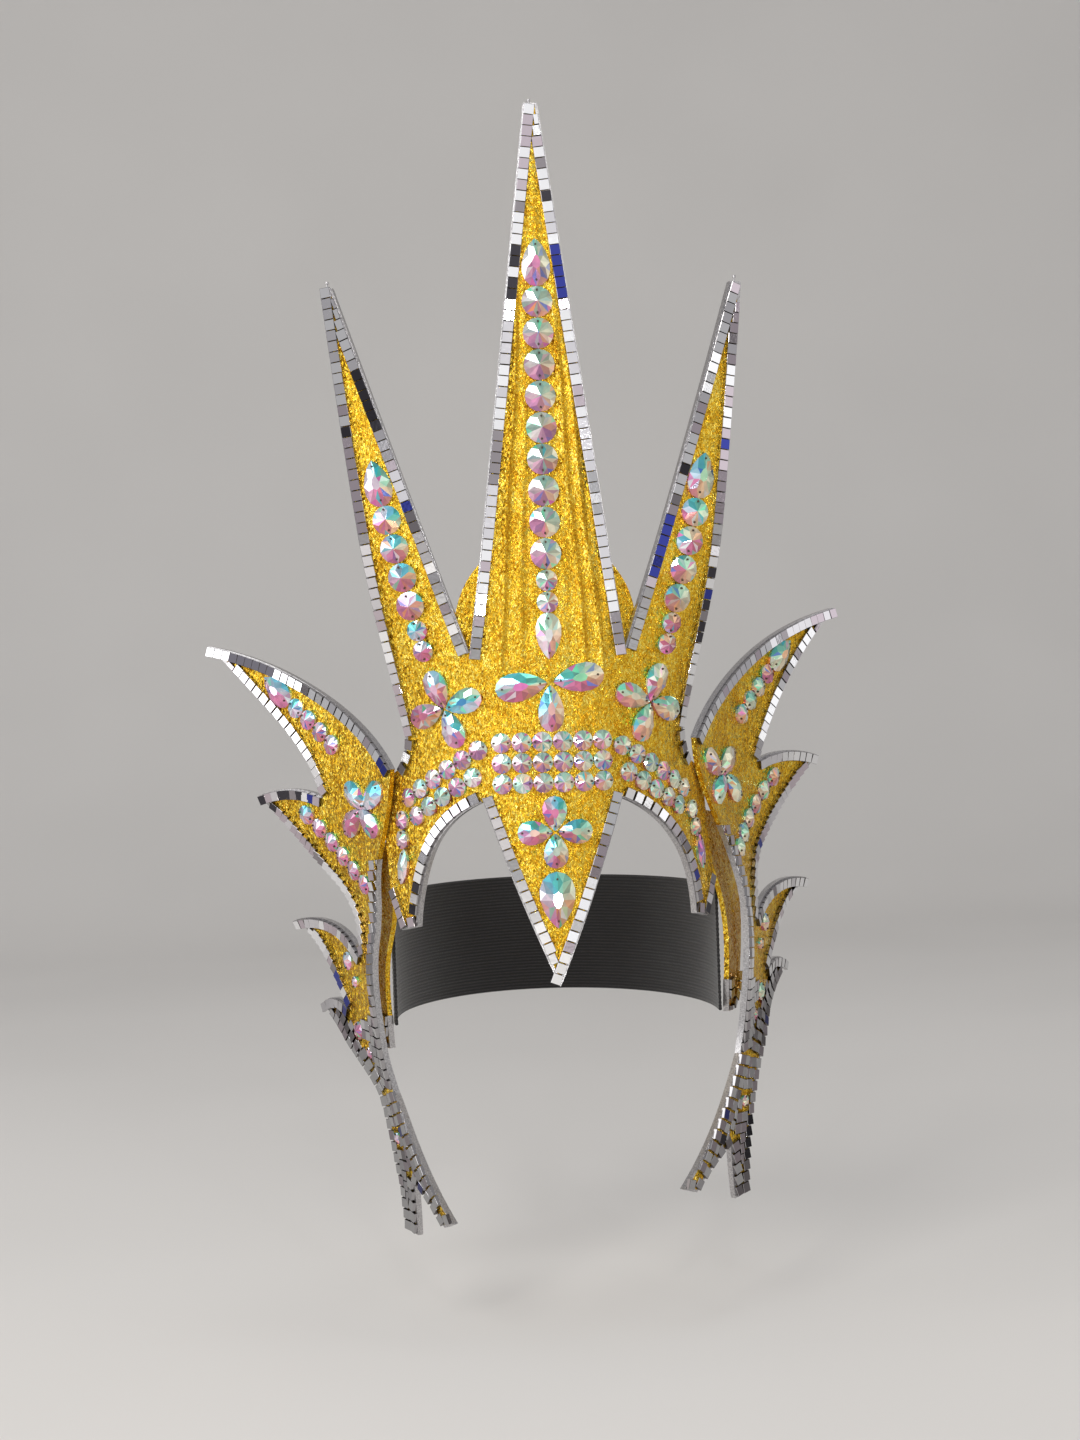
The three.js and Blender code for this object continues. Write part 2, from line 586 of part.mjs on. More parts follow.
// The strap round the back of the head
function strapLoop() {
  const points = [];
  const triangles = [];
  const { wide, deep, thick, low, high, from, steps } = STRAP;
  for (let i = 0; i <= steps; i += 1) {
    const angle = radians(lerp(from, 180 - from, i / steps));
    const ring = [[0, low], [0, high], [thick, high], [thick, low]];
    for (const [inward, height] of ring) {
      const x = ASKEW.wing + (wide - inward) * Math.cos(angle);
      points.push(new THREE.Vector3(x, (deep - inward) * Math.sin(angle), height));
    }
    if (i === 0) continue;
    for (let k = 0; k < 4; k += 1) {
      const [a, b] = [4 * i - 4 + k, 4 * i - 4 + ((k + 1) % 4)];
      triangles.push([a, b, a + 4], [b, b + 4, a + 4]);
    }
  }
  const end = 4 * steps;
  triangles.push([0, 2, 1], [0, 3, 2], [end, end + 1, end + 2], [end, end + 2, end + 3]);
  return facingOut({ points, triangles });
}
add('back_strap', strapLoop(), BLACK);

export default crown;
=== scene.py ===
"""Looks of a spiked crown headdress: glitter panels, mirror tiles, coated stones and a woven strap.

Lengths are in millimetres until a mesh is made. Left and right are as seen from the front.
A pattern point is (u, v): along the sheet and up. A surface turns it into a place on the head.
"""
import math

import bpy
import numpy as np
from mathutils import Matrix, Vector, geometry


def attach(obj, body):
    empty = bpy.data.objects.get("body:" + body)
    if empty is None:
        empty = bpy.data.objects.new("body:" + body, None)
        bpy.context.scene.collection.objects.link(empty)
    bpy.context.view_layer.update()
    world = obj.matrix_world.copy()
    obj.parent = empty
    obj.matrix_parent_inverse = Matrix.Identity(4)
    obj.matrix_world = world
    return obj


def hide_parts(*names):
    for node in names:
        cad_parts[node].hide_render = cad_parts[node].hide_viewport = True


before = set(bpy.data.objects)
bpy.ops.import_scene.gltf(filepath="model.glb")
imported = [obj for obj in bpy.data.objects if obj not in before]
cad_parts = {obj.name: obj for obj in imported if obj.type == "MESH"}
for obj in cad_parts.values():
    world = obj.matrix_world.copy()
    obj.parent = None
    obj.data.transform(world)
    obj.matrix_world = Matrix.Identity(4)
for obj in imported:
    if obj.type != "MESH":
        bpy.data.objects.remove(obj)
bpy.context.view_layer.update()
rng = np.random.default_rng(7)

MM = 0.001
TINY = 1e-9

# Driving dimensions, as in the part's source
HEAD_RADIUS = 80
SHEET = 2.5
GAP = 0.6
TILE = 4.8
TILE_THICK = 1.2
TILE_INSET = 0.3
FUSE = 0.6
BEND = {"low": 12, "high": 130, "top": 0.3, "last": 0.95}
ASKEW = {"band": 6, "wing": 6}
BAND_ASKEW = {"high": 5, "low": -45, "near": 20, "far": 55}
WING_ASKEW = {"high": 15, "low": -60}
STATION_COLUMNS = ("v", "x", "y", "face")
STATIONS = np.array([
    (-205, 69, -28, 48),
    (-150, 80, -20, 58),
    (-115, 88, -14, 66),
    (-75, 91, -13, 68),
    (-40, 84, -24, 64),
    (15, 68, -44, 56),
    (90, 68, -44, 56),
], float)
WING_FLARE = 300
WING_LIFT = 5
WING_OFF = 0.7
STRAP = {"wide": 81.2, "deep": 112, "thick": 1.6, "low": -110, "high": -48, "from": -5, "steps": 120}
NARROW = {"high": 70, "low": 15}
TUCK = {"high": -20, "low": -60}
TWIST = {"high": -112, "low": -142}
SIDES = (
    {"name": "left", "side": -1, "inset": 0, "narrow": 0.88, "tuck": 4.5, "tail": 2, "twist": 11,
     "lean": {"least": 0.8, "most": 1.85, "high": -20, "low": -60}},
    {"name": "right", "side": 1, "inset": 1.1, "narrow": 1, "tuck": 0, "tail": 0, "twist": -8,
     "lean": {"least": 2.6, "most": 4.8, "high": -8, "low": -32}},
)

# Layers over the head
BAND_TOP = SHEET
BLADE_LOW = BAND_TOP + GAP
BLADE_TOP = BLADE_LOW + SHEET
PLATE_TOP = -GAP
WING_LOW = BAND_TOP + WING_OFF
WING_TOP = WING_LOW + SHEET
TAB_TOP = -GAP

# Outlines, clockwise from outside: each row ends an edge, and bow is how far that edge bulges out
BLADE = (
    ("apex", 3, 319, 0),
    ("shoulder", 35, 66, 0),
    ("neck top", 26, 58, 0),
    ("neck foot", 26, 8, 0),
    ("brow", 31, 2, 0),
    ("peak tip", 0, -85, 1),
)
BAND = (
    ("valley", 36, 69, 0),
    ("spike inner", 94.5, 240, 0),
    ("spike outer", 100, 240, 0),
    ("waist", 72, 31, 1),
    ("notch", 80, 16, -1.5),
    ("lap top", 94, 10, 0),
    ("lap foot", 96, -42, 0),
    ("temple outer", 87, -60, 0),
    ("temple inner", 76, -58, 0),
    ("brow", 32.5, 0, -10.5),
)
BAND_HALF = BAND + (("middle low", 0, 0, 0), ("middle high", 0, 69, 0))
PLATE = (
    ("left foot", -43, 30, 0),
    ("left spring", -43, 79, 0),
    ("right spring", 43, 79, 43),
    ("right foot", 43, 30, 0),
)
WING = (
    ("root", 3, 21, 0),
    ("first flame", 127, 85, 10),
    ("first notch", 61, 8, -5),
    ("second flame", 110, 9, 3.5),
    ("belly", 42, -35, 1.5),
    ("second notch", 14, -71, -4.3),
    ("third flame", 89, -56, 7.5),
    ("third notch", 32, -98, -5.6),
    ("fourth flame", 63, -98, 4),
    ("stem back", 22, -140, -6),
    ("rear tail", 22, -203, -3),
    ("rear tail foot", 13, -205, 0),
    ("fork", 4, -178, 0),
    ("front tail foot", -18, -197, -2),
    ("front tail", -28, -194, 0),
    ("stem front", 0, -135, -4),
    ("stem top", 0, -53, 4),
)
WING_EDGED = WING + (("trim top", 1.25, -22, 0),)
TAB = (
    ("front top", -5, -12, 0),
    ("back top", 32, -18, 0),
    ("back foot", 24, -98, 0),
    ("tip back", 13, -116, 3),
    ("tip front", 7, -116, 0),
    ("front foot", 3, -100, 0),
)

# Stones by outline, width and length
CUTS = {
    "large": ("round", 15, 15),
    "spike": ("round", 14.2, 14.2),
    "middle": ("round", 10.6, 10.6),
    "arch": ("round", 9.2, 9.8),
    "small": ("round", 9, 10),
    "drop": ("drop", 12, 21.4),
    "crown_drop": ("drop", 13.2, 22),
    "peak_drop": ("drop", 16.6, 26),
    "arm": ("drop", 13.4, 24),
    "short_arm": ("drop", 11.4, 16),
    "petal": ("drop", 11.6, 18.6),
    "marquise": ("marquise", 7.5, 17),
    "stem": ("round", 6, 6.4),
}
SEAM = 0.15


# Surfaces

def smooth(start, end, x):
    t = np.clip((x - start) / (end - start), 0, 1)
    return t * t * (3 - 2 * t)


def mix(a, b, share):
    return a + (b - a) * share


def front_surface(side=1):
    def surface(points, off):
        u = side * points[:, 0]
        v = points[:, 1]
        shift = smooth(BAND_ASKEW["high"], BAND_ASKEW["low"], v)
        shift = shift * smooth(BAND_ASKEW["near"], BAND_ASKEW["far"], np.abs(u))
        along = u + ASKEW["band"] * shift
        radius = HEAD_RADIUS / mix(1, BEND["top"], smooth(BEND["low"], BEND["high"], v))
        turn = np.clip(along / radius, -BEND["last"], BEND["last"])
        straight = along - turn * radius
        x = radius * np.sin(turn) + straight * np.cos(turn)
        y = radius * (1 - np.cos(turn)) + straight * np.sin(turn) - HEAD_RADIUS
        return np.column_stack([x + off * np.sin(turn), y - off * np.cos(turn), v])
    return surface


def station_at(v, column):
    heights = STATIONS[:, 0]
    values = STATIONS[:, STATION_COLUMNS.index(column)]
    slopes = np.gradient(values)
    slopes[1:-1] = (values[2:] - values[:-2]) / (heights[2:] - heights[:-2])
    slopes[[0, -1]] = np.diff(values)[[0, -1]] / np.diff(heights)[[0, -1]]
    v = np.clip(v, heights[0], heights[-1])
    i = np.clip(np.searchsorted(heights, v, side="right") - 1, 0, len(heights) - 2)
    span = heights[i + 1] - heights[i]
    t = (v - heights[i]) / span
    lean = t * (1 - t) * ((1 - t) * slopes[i] - t * slopes[i + 1])
    return mix(values[i], values[i + 1], t * t * (3 - 2 * t)) + span * lean


def wing_surface(side, inset, narrow, tuck, tail, twist):
    def surface(points, distance):
        u, v = points[:, 0], points[:, 1]
        lower = smooth(TWIST["high"], TWIST["low"], v)
        off = distance - inset
        along = u * mix(1, narrow, smooth(NARROW["high"], NARROW["low"], v))
        edge_x = station_at(v, "x") - tuck * smooth(TUCK["high"], TUCK["low"], v) - tail * lower
        face = np.radians(station_at(v, "face") + twist * lower)
        turn = face - np.maximum(0, along) / WING_FLARE
        curl = np.where(along > 0, WING_FLARE, 0)
        back = np.minimum(0, along)
        out = edge_x + curl * (np.sin(face) - np.sin(turn)) + back * np.cos(face)
        deep = station_at(v, "y") + curl * (np.cos(turn) - np.cos(face)) + back * np.sin(face)
        skew = ASKEW["wing"] * smooth(WING_ASKEW["high"], WING_ASKEW["low"], v)
        x = side * (out + off * np.sin(turn)) + skew
        return np.column_stack([x, deep - off * np.cos(turn), v + side * WING_LIFT])
    return surface


def tab_surface(wing, lean):
    def surface(points, off):
        inwards = mix(lean["least"], lean["most"], smooth(lean["high"], lean["low"], points[:, 1]))
        return wing(points, off - inwards)
    return surface


def seats(surface, points, off):
    """Each point's place on the surface, with unit vectors along, up and out of it."""
    reach = 2.0
    step_u, step_v = np.array([reach, 0]), np.array([0, reach])
    place = surface(points, off)
    along = unit(surface(points + step_u, off) - surface(points - step_u, off))
    up = surface(points + step_v, off) - surface(points - step_v, off)
    up = unit(up - along * (up * along).sum(1, keepdims=True))
    out = np.cross(along, up)
    outwards = ((surface(points, off + 1) - place) * out).sum(1, keepdims=True)
    return place, along, up, out * np.sign(outwards)


def unit(vectors):
    return vectors / np.linalg.norm(vectors, axis=-1, keepdims=True)


# Outlines

def mirrored(right):
    """A whole outline from its right half, which starts and ends near the middle."""
    left = []
    for i, (end, u, v, _) in enumerate(right):
        bow = right[i + 1][3] if i + 1 < len(right) else 0
        left.append(("left " + end, -u, v, bow))
    return right + tuple(row for row in reversed(left) if row[1] != 0)


def edge(start, end, bow, step):
    """Points from one corner to the next along an arc, without the first one."""
    start, end = np.array(start, float), np.array(end, float)
    along = end - start
    length = np.linalg.norm(along)
    count = max(1, math.ceil(length / step))
    share = np.arange(1, count + 1)[:, None] / count
    if bow == 0:
        return start + along * share
    out = np.array([-along[1], along[0]])
    sweep = 4 * math.atan(2 * bow / length)
    angle = sweep * (share - 0.5)
    double = 2 * math.sin(sweep / 2)
    rise = (np.cos(angle) - math.cos(sweep / 2)) / double
    return start + along * (0.5 + np.sin(angle) / double) + out * rise


def edges_of(rows, step):
    """The outline's edges as a list of (the corner that it ends at, points from start to end)."""
    edges = []
    for i, (end, u, v, bow) in enumerate(rows):
        start = rows[i - 1][1:3]
        edges.append((end, np.vstack([start, edge(start, (u, v), bow, step)])))
    return edges


def border_of(rows):
    """The whole outline, anticlockwise."""
    return np.vstack([points[1:] for _, points in edges_of(rows, EDGE_STEP)])[::-1]


def run_of(rows, first, last, step):
    """The edges that lie between two named corners."""
    edges = edges_of(rows, step)
    names = [end for end, _ in edges]
    start = names.index(first)
    turned = edges[start + 1:] + edges[:start + 1]
    count = [end for end, _ in turned].index(last) + 1
    return [points for _, points in turned[:count]]


def inside(points, polygon):
    """Which points lie inside a polygon, by counting the edges to their right."""
    result = np.zeros(len(points), bool)
    for (ax, ay), (bx, by) in zip(polygon, np.roll(polygon, -1, 0)):
        if ay == by:
            continue
        crosses = (points[:, 1] < ay) != (points[:, 1] < by)
        reach = ax + (points[:, 1] - ay) * (bx - ax) / (by - ay)
        result ^= crosses & (points[:, 0] < reach)
    return result


def distance_to(points, polygon):
    nearest = np.full(len(points), np.inf)
    for corner in polygon:
        nearest = np.minimum(nearest, np.hypot(*(points - corner).T))
    return nearest


# Meshes

# The angle, in degrees, from which an edge is sharp
SHARP = {"panel": 30, "tile": 20, "facet": 1, "strap": 60, "wire": 50}


def make_mesh(name, points, faces, kind):
    mesh = bpy.data.meshes.new(name)
    mesh.from_pydata((np.asarray(points) * MM).tolist(), [], faces)
    mesh.shade_smooth()
    mesh.set_sharp_from_angle(angle=math.radians(SHARP[kind]))
    return mesh


def facing_out(points, faces):
    """The faces, turned over if they enclose a negative volume."""
    volume = 0
    for face in faces:
        first = points[face[0]]
        for b, c in zip(face[1:], face[2:]):
            volume += first @ np.cross(points[b], points[c])
    return faces if volume > 0 else [tuple(reversed(face)) for face in faces]


def loft(lines):
    """A tube with shut ends, whose cut has one corner on each of the lines."""
    points = np.stack(lines, 1).reshape(-1, 3)
    width = len(lines)
    faces = [tuple(range(width)), tuple(range(len(points) - 1, len(points) - width - 1, -1))]
    for i in range(len(lines[0]) - 1):
        for k in range(width):
            a, b = i * width + k, i * width + (k + 1) % width
            faces.append((a, a + width, b + width, b))
    return points, facing_out(points, faces)


def paint(mesh, colours):
    """One colour for each face, as a colour attribute."""
    layer = mesh.color_attributes.new(TINT, "FLOAT_COLOR", "CORNER")
    sizes = np.empty(len(mesh.polygons), int)
    mesh.polygons.foreach_get("loop_total", sizes)
    corners = np.repeat(np.column_stack([colours, np.ones(len(colours))]), sizes, axis=0)
    layer.data.foreach_set("color", corners.astype(np.float32).ravel())


def add_piece(name, mesh, materials, node=None):
    piece = bpy.data.objects.new(name, mesh)
    bpy.context.scene.collection.objects.link(piece)
    for finish in materials:
        mesh.materials.append(finish)
    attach(piece, "root")
    if node:
        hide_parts(node)
    return piece


# Materials

TINT = "tint"


def linear(*srgb):
    """A colour given as 0 to 255, in the light units that shaders use."""
    share = np.array(srgb, float) / 255
    return np.where(share <= 0.04045, share / 12.92, ((share + 0.055) / 1.055) ** 2.4)


def rgba(*srgb):
    return (*linear(*srgb), 1)


def grey(level):
    return (level, level, level, 1)


class Nodes:
    """A new material and short calls that add and link its nodes."""

    def __init__(self, name):
        self.material = bpy.data.materials.new(name)
        self.material.use_nodes = True
        self.tree = self.material.node_tree
        self.shader = self.tree.nodes["Principled BSDF"]

    def add(self, kind, inputs=None, **settings):
        node = self.tree.nodes.new(kind)
        for key, value in settings.items():
            setattr(node, key, value)
        for key, value in (inputs or {}).items():
            if isinstance(value, bpy.types.NodeSocket):
                self.tree.links.new(value, node.inputs[key])
            else:
                node.inputs[key].default_value = value
        return node

    def ramp(self, factor, *stops):
        node = self.add("ShaderNodeValToRGB", {"Fac": factor})
        elements = node.color_ramp.elements
        while len(elements) < len(stops):
            elements.new(0.5)
        for element, (position, colour) in zip(elements, stops):
            element.position = position
            element.color = colour
        return node.outputs["Color"]

    def set(self, **inputs):
        """Shader inputs by name, with underscores for spaces."""
        for key, value in inputs.items():
            socket = self.shader.inputs[key.replace("_", " ")]
            if isinstance(value, bpy.types.NodeSocket):
                self.tree.links.new(value, socket)
            else:
                socket.default_value = value

    def place(self):
        return self.add("ShaderNodeTexCoord").outputs["Object"]


def glitter_gold():
    nodes = Nodes("glitter_gold")
    place = nodes.add("ShaderNodeMapping", {"Vector": nodes.place(), "Scale": (1, 1, 0.6)}).outputs["Vector"]
    flakes = nodes.add("ShaderNodeTexVoronoi", {"Vector": place, "Scale": 1350})
    grains = nodes.add("ShaderNodeTexVoronoi", {"Vector": place, "Scale": 3000})
    cloud = nodes.add("ShaderNodeTexNoise", {"Vector": place, "Scale": 110, "Detail": 2})
    pick = nodes.add("ShaderNodeSeparateColor", {"Color": flakes.outputs["Color"]})
    grain = nodes.add("ShaderNodeSeparateColor", {"Color": grains.outputs["Color"]})
    red, green = pick.outputs["Red"], grain.outputs["Green"]
    blended = nodes.add("ShaderNodeMath", {0: red, 1: green}, operation="ADD")
    clouded = nodes.add("ShaderNodeMath", {0: blended.outputs[0], 1: cloud.outputs["Fac"]}, operation="ADD")
    third = nodes.add("ShaderNodeMath", {0: clouded.outputs[0], 1: 1 / 3}, operation="MULTIPLY")
    colour = nodes.ramp(
        third.outputs[0],
        (0.22, rgba(168, 113, 15)),
        (0.42, rgba(210, 161, 33)),
        (0.6, rgba(229, 191, 56)),
        (0.8, rgba(254, 237, 124)),
    )
    # Each flake faces its own way
    half = (0.5, 0.5, 0.5)
    tilt = nodes.add("ShaderNodeVectorMath", {0: flakes.outputs["Color"], 1: half}, operation="SUBTRACT")
    twist = nodes.add("ShaderNodeVectorMath", {0: grains.outputs["Color"], 1: half}, operation="SUBTRACT")
    both = nodes.add("ShaderNodeVectorMath", {0: tilt.outputs[0], 1: twist.outputs[0]}, operation="ADD")
    lean = nodes.add("ShaderNodeVectorMath", {0: both.outputs[0], "Scale": 0.6}, operation="SCALE")
    normal = nodes.add("ShaderNodeNewGeometry").outputs["Normal"]
    turned = nodes.add("ShaderNodeVectorMath", {0: normal, 1: lean.outputs[0]}, operation="ADD")
    final = nodes.add("ShaderNodeVectorMath", {0: turned.outputs[0]}, operation="NORMALIZE")
    rough = nodes.ramp(grain.outputs["Blue"], (0, grey(0.16)), (1, grey(0.45)))
    nodes.set(Base_Color=colour, Metallic=0.94, Roughness=rough, Normal=final.outputs[0])
    return nodes.material


def mirror():
    nodes = Nodes("mirror_tile")
    tint = nodes.add("ShaderNodeVertexColor", layer_name=TINT).outputs["Color"]
    smear = nodes.add("ShaderNodeTexNoise", {"Vector": nodes.place(), "Scale": 700, "Detail": 3})
    rough = nodes.ramp(smear.outputs["Fac"], (0.3, grey(0.03)), (0.75, grey(0.1)))
    wave = nodes.add("ShaderNodeBump", {"Height": smear.outputs["Fac"], "Strength": 0.06, "Distance": 0.0004})
    nodes.set(Base_Color=tint, Metallic=1, Roughness=rough, Normal=wave.outputs[0])
    return nodes.material


def silver_tape():
    nodes = Nodes("silver_tape")
    grain = nodes.add("ShaderNodeTexNoise", {"Vector": nodes.place(), "Scale": 1500, "Detail": 4})
    colour = nodes.ramp(grain.outputs["Fac"], (0.3, rgba(150, 148, 150)), (0.7, rgba(206, 204, 204)))
    bump = nodes.add("ShaderNodeBump", {"Height": grain.outputs["Fac"], "Strength": 0.2, "Distance": 0.0003})
    nodes.set(Base_Color=colour, Metallic=0.9, Roughness=0.28, Normal=bump.outputs[0])
    return nodes.material


def crystal():
    nodes = Nodes("coated_crystal")
    tint = nodes.add("ShaderNodeVertexColor", layer_name=TINT).outputs["Color"]
    film = nodes.add("ShaderNodeTexNoise", {"Vector": nodes.place(), "Scale": 260, "Detail": 2})
    shade = nodes.ramp(film.outputs["Fac"], (0.3, (0.72, 0.78, 0.84, 1)), (0.7, (1, 1, 1, 1)))
    colour = nodes.add("ShaderNodeMix", {"Factor": 1.0, "A": tint, "B": shade}, data_type="RGBA",
                       blend_type="MULTIPLY")
    nodes.set(Base_Color=colour.outputs["Result"], Metallic=0.55, Roughness=0.07, Coat_Weight=1.0,
              Coat_Roughness=0.02)
    return nodes.material


def sew_hole():
    nodes = Nodes("sew_hole")
    speck = nodes.add("ShaderNodeTexNoise", {"Vector": nodes.place(), "Scale": 900})
    colour = nodes.ramp(speck.outputs["Fac"], (0.3, rgba(40, 28, 20)), (0.8, rgba(92, 70, 44)))
    nodes.set(Base_Color=colour, Roughness=0.6)
    return nodes.material


def webbing():
    nodes = Nodes("black_webbing")
    place = nodes.place()
    ribs = nodes.add("ShaderNodeTexWave", {"Vector": place, "Scale": 190, "Distortion": 0.6, "Detail": 2},
                     bands_direction="Z")
    fuzz = nodes.add("ShaderNodeTexNoise", {"Vector": place, "Scale": 1600, "Detail": 5})
    both = {0: ribs.outputs["Fac"], 1: fuzz.outputs["Fac"]}
    weave = nodes.add("ShaderNodeMath", both, operation="MULTIPLY")
    colour = nodes.ramp(weave.outputs[0], (0.1, rgba(12, 12, 13)), (0.6, rgba(46, 44, 46)))
    bump = nodes.add("ShaderNodeBump", {"Height": weave.outputs[0], "Strength": 0.5, "Distance": 0.0006})
    nodes.set(Base_Color=colour, Roughness=0.85, Sheen_Weight=0.3, Normal=bump.outputs[0])
    return nodes.material


def paper():
    nodes = Nodes("stage_paper")
    cloud = nodes.add("ShaderNodeTexNoise", {"Vector": nodes.place(), "Scale": 3, "Detail": 1})
    colour = nodes.ramp(cloud.outputs["Fac"], (0.3, rgba(222, 220, 217)), (0.7, rgba(225, 223, 220)))
    nodes.set(Base_Color=colour, Roughness=0.9, Specular_IOR_Level=0)
    return nodes.material


GOLD = glitter_gold()
MIRROR = mirror()
TAPE = silver_tape()
CRYSTAL = crystal()
HOLE = sew_hole()
WEBBING = webbing()


# Panels

GRID = 2.0
BLADE_GRID = 1.1
EDGE_STEP = 1.6
# How far from the border grid points start, as a share of the pitch
BORDER_ROOM = 0.6
# How far from the border the relief starts, and is full
RELIEF_FADE = (0.5, 3)
# Settings of the triangulation: keep the inside only, and merge points this near
KEEP_INSIDE = 1
MERGE = 1e-6
WRINKLE = {"height": 0.22, "pitch": 6.5, "wander": 1.6, "sway": 34, "swell": 21, "slant": 0.35}
# Creases up the blade: place as a share of the half width, height, and width
CREASES = ((-0.62, 1.6, 1.2), (-0.37, 0.8, 1.6), (0.45, 1.4, 1.2), (0.66, 1.3, 1.3))
CREASE_FADE = {"low": (44, 64), "high": (262, 200)}
CREASE_SWAY = {"reach": 0.6, "length": 17, "shift": 5}


def wrinkles(points):
    """Long shallow wrinkles of the fabric, running up the panel."""
    u, v = points.T
    phase = 2 * math.pi * u / WRINKLE["pitch"] + WRINKLE["wander"] * np.sin(v / WRINKLE["sway"])
    swell = 0.5 + 0.5 * np.sin(v / WRINKLE["swell"] + WRINKLE["slant"] * u)
    return WRINKLE["height"] * np.sin(phase) * swell


def blade_relief(points):
    """The wrinkles, and the creases that run up the blade."""
    u, v = points.T
    (_, apex_u, apex_v, _), (_, shoulder_u, shoulder_v, _) = BLADE[:2]
    half = mix(shoulder_u, apex_u, np.clip((v - shoulder_v) / (apex_v - shoulder_v), 0, 1))
    fade = smooth(*CREASE_FADE["low"], v) * smooth(*CREASE_FADE["high"], v)
    height = wrinkles(points)
    for place, rise, width in CREASES:
        phase = v / CREASE_SWAY["length"] + CREASE_SWAY["shift"] * place
        bent = place * half + CREASE_SWAY["reach"] * np.sin(phase)
        height = height + rise * fade * np.exp(-(((u - bent) / width) ** 2))
    return height


def panel(node, rows, surface, low, high, relief=wrinkles, pitch=GRID):
    """A sheet between two heights over a surface, with its relief on the outer face."""
    border = border_of(rows)
    count = len(border)
    lowest, highest = border.min(0), border.max(0)
    grid_u = np.arange(lowest[0], highest[0], pitch)
    grid_v = np.arange(lowest[1], highest[1], pitch)
    grid = np.stack(np.meshgrid(grid_u, grid_v, indexing="ij"), -1)
    grid[:, ::2, 0] += pitch / 2
    grid = grid.reshape(-1, 2)
    grid = grid[inside(grid, border)]
    grid = grid[distance_to(grid, border) > BORDER_ROOM * pitch]
    ring = [(i, (i + 1) % count) for i in range(count)]
    flat = [Vector(point) for point in np.vstack([border, grid])]
    found = geometry.delaunay_2d_cdt(flat, ring, [], KEEP_INSIDE, MERGE)
    pattern = np.array([tuple(point) for point in found[0]])
    triangles = [tuple(face) for face in found[2]]
    total = len(pattern)
    level = high + relief(pattern) * smooth(*RELIEF_FADE, distance_to(pattern, border))
    points = np.vstack([surface(pattern, level), surface(pattern, low)])
    faces = triangles + [tuple(total + i for i in reversed(face)) for face in triangles]
    sides = {(a, b) for face in triangles for a, b in zip(face, face[1:] + face[:1])}
    faces += [(b, a, a + total, b + total) for a, b in sides if (b, a) not in sides]
    mesh = make_mesh(node + "_skin", points, facing_out(points, faces), "panel")
    add_piece(node + "_skin", mesh, [GOLD], node)


# Mirror-tile edging

TILE_PITCH = 4.95
TILE_SIZE = 4.75
TILE_BEVEL = 0.15
TILE_LEAST = 1.2
TILE_CUT = 0.4
TILE_OVERLAP = 0.35
TILE_LEAN = 0.022
TILE_DIMMEST = 0.92
CORNERS = np.array([(-1, -1), (1, -1), (1, 1), (-1, 1)], float)
# Runs of tiles that lean and shine alike: fewest, one over the most, lean, and odds of keeping the shade
ALIKE = {"fewest": 2, "over": 8, "lean": 0.05, "odds": 0.7}
TAPE_THICK = 0.25
TAPE_LIP = 1.1
# Painted shadow in the gaps: the colour of the tile ends that face the next tiles
PAINTED_GAP_SHADOW = (98, 93, 92)
TILE_SIDE = (170, 168, 170)
# Tints of the glass, and their odds
TINTS = (
    ((250, 250, 252), 0.36),
    ((224, 222, 226), 0.24),
    ((204, 192, 200), 0.22),
    ((158, 152, 156), 0.1),
    ((74, 72, 78), 0.05),
    ((66, 74, 160), 0.03),
)
# Painted shade: the glass of the tiles low on the stems is painted darker towards the bottom
PAINTED_STEM_SHADE = {"high": -86, "low": -118, "least": 0.42}


def rectangle(place, ahead, long, wide):
    """Corners of a tile that heads this way, the inner two last."""
    inwards = np.array([ahead[1], -ahead[0]])
    return np.array([place + ahead * a * long / 2 + inwards * b * wide / 2 for a, b in CORNERS])


def overlap(first, second):
    """Whether two rectangles share more than a sliver."""
    for shape in (first, second):
        for axis in (unit(shape[1] - shape[0]), unit(shape[2] - shape[1])):
            a, b = first @ axis, second @ axis
            if min(a.max(), b.max()) - max(a.min(), b.min()) < TILE_OVERLAP:
                return False
    return True


def tile_places(runs, laid=()):
    """Tiles along each edge in turn: place, heading and width. One that would lie on an earlier tile, or
    on what is laid already, is cut narrower. The first edge's last tile squares off a sharp tip."""
    placed = []
    corners = list(laid)
    for run in runs:
        steps = np.diff(run, axis=0)
        lengths = np.hypot(*steps.T)
        reached = np.concatenate([[0], np.cumsum(lengths)])
        count = max(1, int(reached[-1] / TILE_PITCH))
        for at in (np.arange(count) + 0.5) * reached[-1] / count:
            i = min(np.searchsorted(reached, at) - 1, len(steps) - 1)
            ahead = steps[i] / lengths[i]
            inwards = np.array([ahead[1], -ahead[0]])
            foot = run[i] + ahead * (at - reached[i])
            for wide in np.arange(TILE_SIZE, TILE_LEAST, -TILE_CUT):
                place = foot + inwards * (TILE_INSET + wide / 2)
                shape = rectangle(place, ahead, TILE_SIZE, wide)
                near = [other for other in corners if np.hypot(*(other.mean(0) - place)) < 2 * TILE]
                if not any(overlap(shape, other) for other in near):
                    placed.append((place, ahead, wide))
                    corners.append(shape)
                    break
    return placed


def tile_template(wide):
    """A tile's points and faces: top, bottom, four sides, and the bevel over each side."""
    half = np.array([TILE_SIZE, wide]) / 2
    rings = ((half, -GAP), (half, TILE_THICK - TILE_BEVEL), (half - TILE_BEVEL, TILE_THICK))
    points = np.vstack([np.column_stack([CORNERS * size, np.full(4, height)]) for size, height in rings])
    faces = [(8, 9, 10, 11), (3, 2, 1, 0)]
    for low in (0, 4):
        faces += [(low + k, low + (k + 1) % 4, low + 4 + (k + 1) % 4, low + 4 + k) for k in range(4)]
    return points, faces


